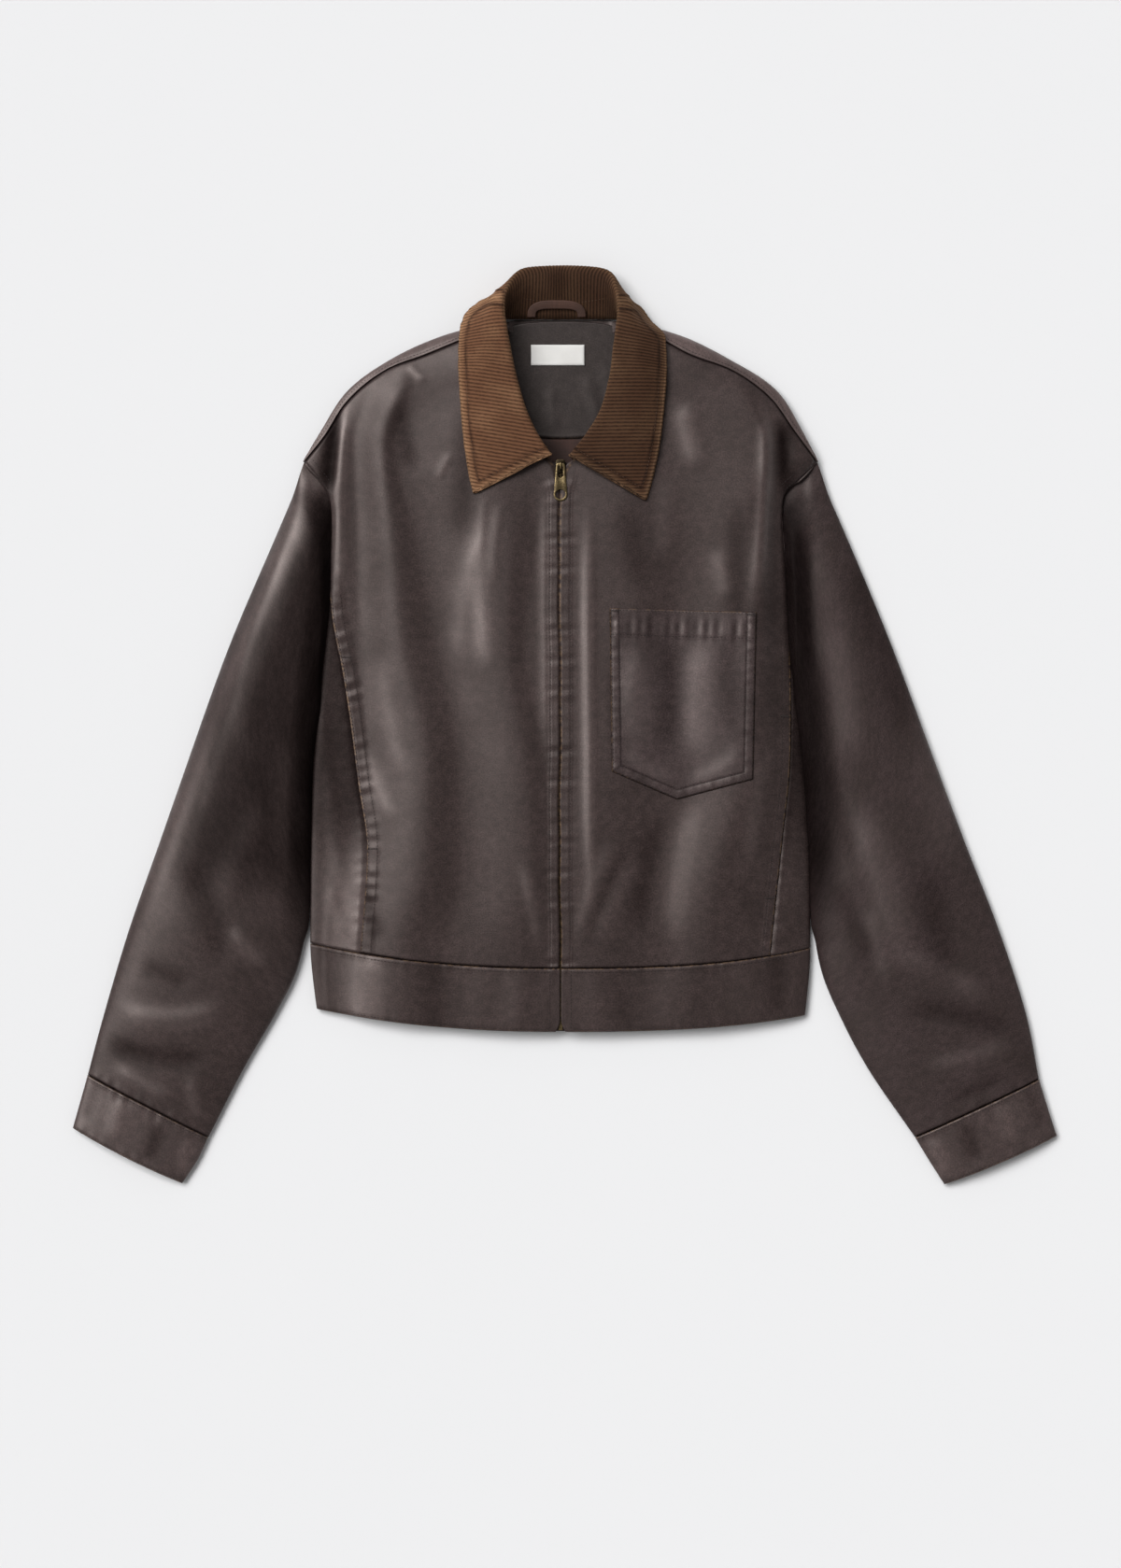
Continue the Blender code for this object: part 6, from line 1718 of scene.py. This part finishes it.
def sewCollar():
    trees = [treeOf(collar)]
    u, depths = np.linspace(0.0, 1.0, 300), np.linspace(1.0, 0.7, 40)
    rows = np.array([collarPoints(u, np.full_like(u, depth)) for depth in depths])
    steps = np.linalg.norm(np.diff(rows, axis=0), axis=2)
    fromEdge = np.concatenate([np.zeros((1, 300)), np.cumsum(steps, axis=0)])
    depth = np.array([np.interp(collarPiece["stitch"], fromEdge[:, k], depths) for k in range(300)])
    outer = collarPoints(u, depth)[:, :2]
    lines = []
    clear = np.full(300, True)
    for end, side in ((0.0, -1), (1.0, 1)):
        lead = collarPoints(np.full(40, end), np.linspace(0.46, 1, 40))[:, :2]
        clear &= nearest(outer[:, 0], outer[:, 1], lead)[0] > collarPiece["stitch"] - 0.5
        lines.append(inside(lead, side * collarPiece["stitch"])[:-5])
    lines.append(outer[clear])
    lift = Matrix.Translation((0, 0, collarPiece["wall"] / 2 * mm))
    places = [lift @ found for line in lines for found in stitchPlaces(trees, line)]
    return stitches("stitches_collar", places, "corduroyThread")


def sewNeck():
    foot = inside(lineOf(facingFoot), 1.6)
    return stitches("stitches_facing", stitchPlaces([treeOf(facing)], foot))


sewn = [sewFronts(), sewBand(), sewCuffs(), sewShoulders(), sewPocket(), sewCollar(), sewNeck()]
print("stitches made:", sum(len(piece.data.polygons) for piece in sewn) // 20)

# the zip's slider and its pull
sliderPiece = {
    "top": sliderHigh.z / mm - 4.4,  # height of the upper plate's face
    "plate": 1.5,
    "lowerPlate": 1.2,
    "gap": 5.0,
    "shoulder": 4.3,  # half the width at the top
    "foot": 3.5,  # half the width at the bottom
    "length": 12.0,
    "bridge": (500.8, 508.6),
    "bridgeRise": 3.8,
    "bridgeBar": (1.0, 0.6),
}
pullPiece = {
    "pivotY": 505.8,
    "pivotRise": 1.6,
    "length": 33.5,
    "thickness": 1.4,
    "eyeWidth": 7.8,
    "bar": 2.0,
    "ringRadius": 6.1,
    "ringHole": 4.3,
    "slot": (4.6, 11.0),
    "soft": 0.32,  # how round the edges are tumbled
}


def arc(radius, centre, start, stop, steps):
    angles = np.radians(np.linspace(start, stop, steps))
    return np.stack([centre[0] + radius * np.cos(angles), centre[1] + radius * np.sin(angles)], -1)


def plate(outlines, low, high, soft):  # an outline and its holes in plan, as a plate with soft edges
    bm = bmesh.new()
    for points in outlines:
        ring = bmesh.ops.create_circle(bm, segments=len(points), radius=1)["verts"]
        for vertex, point in zip(ring, place(np.column_stack([points, np.full(len(points), low)]))):
            vertex.co = point
    bmesh.ops.triangle_fill(bm, edges=bm.edges[:], use_beauty=True)
    walls = bmesh.ops.extrude_face_region(bm, geom=bm.faces[:])["geom"]
    raised = [part for part in walls if isinstance(part, bmesh.types.BMVert)]
    bmesh.ops.translate(bm, verts=raised, vec=(0, 0, (high - low) * mm))
    bmesh.ops.recalc_face_normals(bm, faces=bm.faces[:])
    corners = [edge for edge in bm.edges if edge.is_manifold and edge.calc_face_angle() > math.radians(50)]
    bmesh.ops.bevel(bm, geom=corners, offset=soft * mm, segments=2, affect="EDGES", profile=0.5, material=-1)
    return bm


def joinedObject(name, meshes):
    whole = bmesh.new()
    for bm in meshes:
        part = bpy.data.meshes.new("part")
        bm.to_mesh(part)
        bm.free()
        whole.from_mesh(part)
        bpy.data.meshes.remove(part)
    mesh = bpy.data.meshes.new(name)
    whole.to_mesh(mesh)
    whole.free()
    mesh.shade_smooth()
    mesh.set_sharp_from_angle(angle=math.radians(40))
    return bpy.data.objects.new(name, mesh)


def zipSlider():
    s = sliderPiece
    middle, half = sliderY, s["length"] / 2
    shield = np.concatenate([
        arc(2.2, (s["shoulder"] - 2.2, middle + half - 2.2), 0, 90, 7),
        arc(2.2, (2.2 - s["shoulder"], middle + half - 2.2), 90, 180, 7),
        arc(1.6, (1.6 - s["foot"], middle - half + 1.6), 190, 270, 6),
        arc(1.6, (s["foot"] - 1.6, middle - half + 1.6), 270, 350, 6),
    ])
    low = s["top"] - s["plate"] - s["gap"]
    wedge = arc(1.3, (0, middle + half - 3.2), 0, 337.5, 16)
    parts = [
        plate([shield], s["top"] - s["plate"], s["top"], 0.4),
        plate([shield], low, low + s["lowerPlate"], 0.35),
        plate([wedge], low + 0.6, s["top"] - 0.6, 0.1),
    ]
    bridge = bmesh.new()
    bmesh.ops.create_grid(bridge, x_segments=14, y_segments=24, size=0.5)
    at = np.array([v.co[:2] for v in bridge.verts]) + 0.5
    around, angle = at[:, 0] * 2 * math.pi, at[:, 1] * math.pi
    foot, head = s["bridge"]
    wide, thick = s["bridgeBar"]
    reach, rise = (head - foot) / 2 - thick, s["bridgeRise"] + 0.5
    across = np.sign(np.cos(angle)) * np.abs(np.cos(angle)) ** 0.6
    up = np.maximum(np.sin(angle), 0) ** 0.6
    out = thick * np.sin(around)
    points = np.column_stack([
        wide * np.sign(np.cos(around)) * np.abs(np.cos(around)) ** 0.8,
        (foot + head) / 2 - across * (reach + out),
        s["top"] - 0.5 + up * (rise + out),
    ])
    for vertex, point in zip(bridge.verts, place(points)):
        vertex.co = point
    bmesh.ops.remove_doubles(bridge, verts=bridge.verts, dist=0.001 * mm)
    bmesh.ops.recalc_face_normals(bridge, faces=bridge.faces[:])
    for face in bridge.faces:
        face.material_index = 1
    piece = finishPiece(joinedObject("slider_cast", [*parts, bridge]), "slider", ["zip_slider"])
    piece.data.materials.append(finishes["brass"])
    return piece


def zipPull():
    p = pullPiece
    head, ring = p["bar"] / 2, p["ringRadius"]
    centre = (0, head + ring - p["length"])
    eye = p["eyeWidth"] / 2
    outline = np.concatenate([
        arc(ring, centre, 160, 380, 34), arc(1.6, (eye - 1.6, head - 1.6), 0, 90, 6),
        arc(1.6, (1.6 - eye, head - 1.6), 90, 180, 6),
    ])
    width, length = p["slot"]
    slot = np.concatenate([
        arc(width / 2, (0, -head - width / 2), 0, 180, 10),
        arc(width / 2, (0, -head - length + width / 2), 180, 360, 10),
    ])
    hole = arc(p["ringHole"], centre, 0, 348.75, 32)
    middle = sliderPiece["top"] + p["pivotRise"]
    outlines = [points + (0, p["pivotY"]) for points in (outline, hole, slot)]
    cast = plate(outlines, middle - p["thickness"] / 2, middle + p["thickness"] / 2, p["soft"])
    return finishPiece(joinedObject("pull_cast", [cast]), "brass", ["pull_tab"], body="pull_tab")


slider = zipSlider()
pull = zipPull()
print("slider and pull made")


studio = {
    "cameraHeight": 3.0,  # m above the cloth; far enough that nothing leans outwards
    "viewLength": 1.399,  # m of floor from the top of the picture to its foot
    "centre": (-0.0038, -0.052),
    "floorDrop": 0.0002,
    "floorColour": "ededee",
    "lightColour": "ffffff",
    "overhead": 0.09,  # dark gap over the cloth, where the camera hangs between the softboxes
    "fill": 0.22,  # softboxes all round
    "key": 8.9,  # the large softbox at the upper left
    "keyElevation": 58,  # degrees
    "keyAzimuth": 140,  # degrees round from +X
}


def floorMaterial():
    # smooth white paper sweep: matt, with no grain that shows at this distance
    made, tree, shader = newMaterial("matt white paper", Roughness=0.9, Specular_IOR_Level=0.2)
    at = addNode(tree, "ShaderNodeTexCoord")
    grain = addNode(tree, "ShaderNodeTexNoise", Vector=at.outputs["Object"], Scale=1000 / 400)
    tone = addNode(tree, "ShaderNodeMapRange", Value=grain.outputs[0], To_Min=-0.004, To_Max=0.004)
    paper = hexColour(studio["floorColour"])
    base = addNode(tree, "ShaderNodeMix", {"data_type": "RGBA", "blend_type": "ADD"}, i0=1.0, i6=paper,
                   i7=tone.outputs[0])
    tree.links.new(base.outputs[2], shader.inputs["Base Color"])
    return made


def layFloor():
    bm = bmesh.new()
    bmesh.ops.create_grid(bm, x_segments=2, y_segments=2, size=3)
    bmesh.ops.translate(bm, verts=bm.verts, vec=(0, 0, -studio["floorDrop"]))
    mesh = bpy.data.meshes.new("floor")
    bm.to_mesh(mesh)
    bm.free()
    mesh.materials.append(floorMaterial())
    floor = bpy.data.objects.new("floor", mesh)
    bpy.context.scene.collection.objects.link(floor)


def setLights():
    world = bpy.data.worlds.new("softboxes")
    bpy.context.scene.world = world
    world.use_nodes = True
    tree = world.node_tree
    up, turn = math.radians(studio["keyElevation"]), math.radians(studio["keyAzimuth"])
    toKey = (math.cos(up) * math.cos(turn), math.cos(up) * math.sin(turn), math.sin(up))
    at = addNode(tree, "ShaderNodeTexCoord")
    height = addNode(tree, "ShaderNodeSeparateXYZ", Vector=at.outputs["Generated"])
    side = addNode(tree, "ShaderNodeMapRange", {"interpolation_type": "SMOOTHSTEP"},
                   Value=height.outputs["Z"],
                   From_Min=0.97, From_Max=0.8)
    towards = addNode(tree, "ShaderNodeVectorMath", {"operation": "DOT_PRODUCT"}, i0=at.outputs["Generated"],
                      i1=toKey)
    key = addNode(tree, "ShaderNodeMapRange", {"interpolation_type": "SMOOTHSTEP"},
                  Value=towards.outputs["Value"],
                  From_Min=0.86, From_Max=0.975, To_Min=studio["fill"], To_Max=studio["fill"] + studio["key"])
    level = addNode(tree, "ShaderNodeMath", {"operation": "MULTIPLY_ADD"}, i0=key.outputs[0],
                    i1=side.outputs[0],
                    i2=studio["overhead"])
    sky = tree.nodes["Background"]
    sky.inputs["Color"].default_value = hexColour(studio["lightColour"])
    tree.links.new(level.outputs[0], sky.inputs["Strength"])


def setCamera():
    data = bpy.data.cameras.new("camera")
    data.sensor_fit = "VERTICAL"
    data.sensor_height = 36
    data.lens = data.sensor_height * studio["cameraHeight"] / studio["viewLength"]
    camera = bpy.data.objects.new("camera", data)
    camera.location = (*studio["centre"], studio["cameraHeight"] + 0.015)
    bpy.context.scene.collection.objects.link(camera)
    bpy.context.scene.camera = camera


layFloor()
setLights()
setCamera()
bpy.context.scene.view_settings.view_transform = "Standard"
print("studio set")
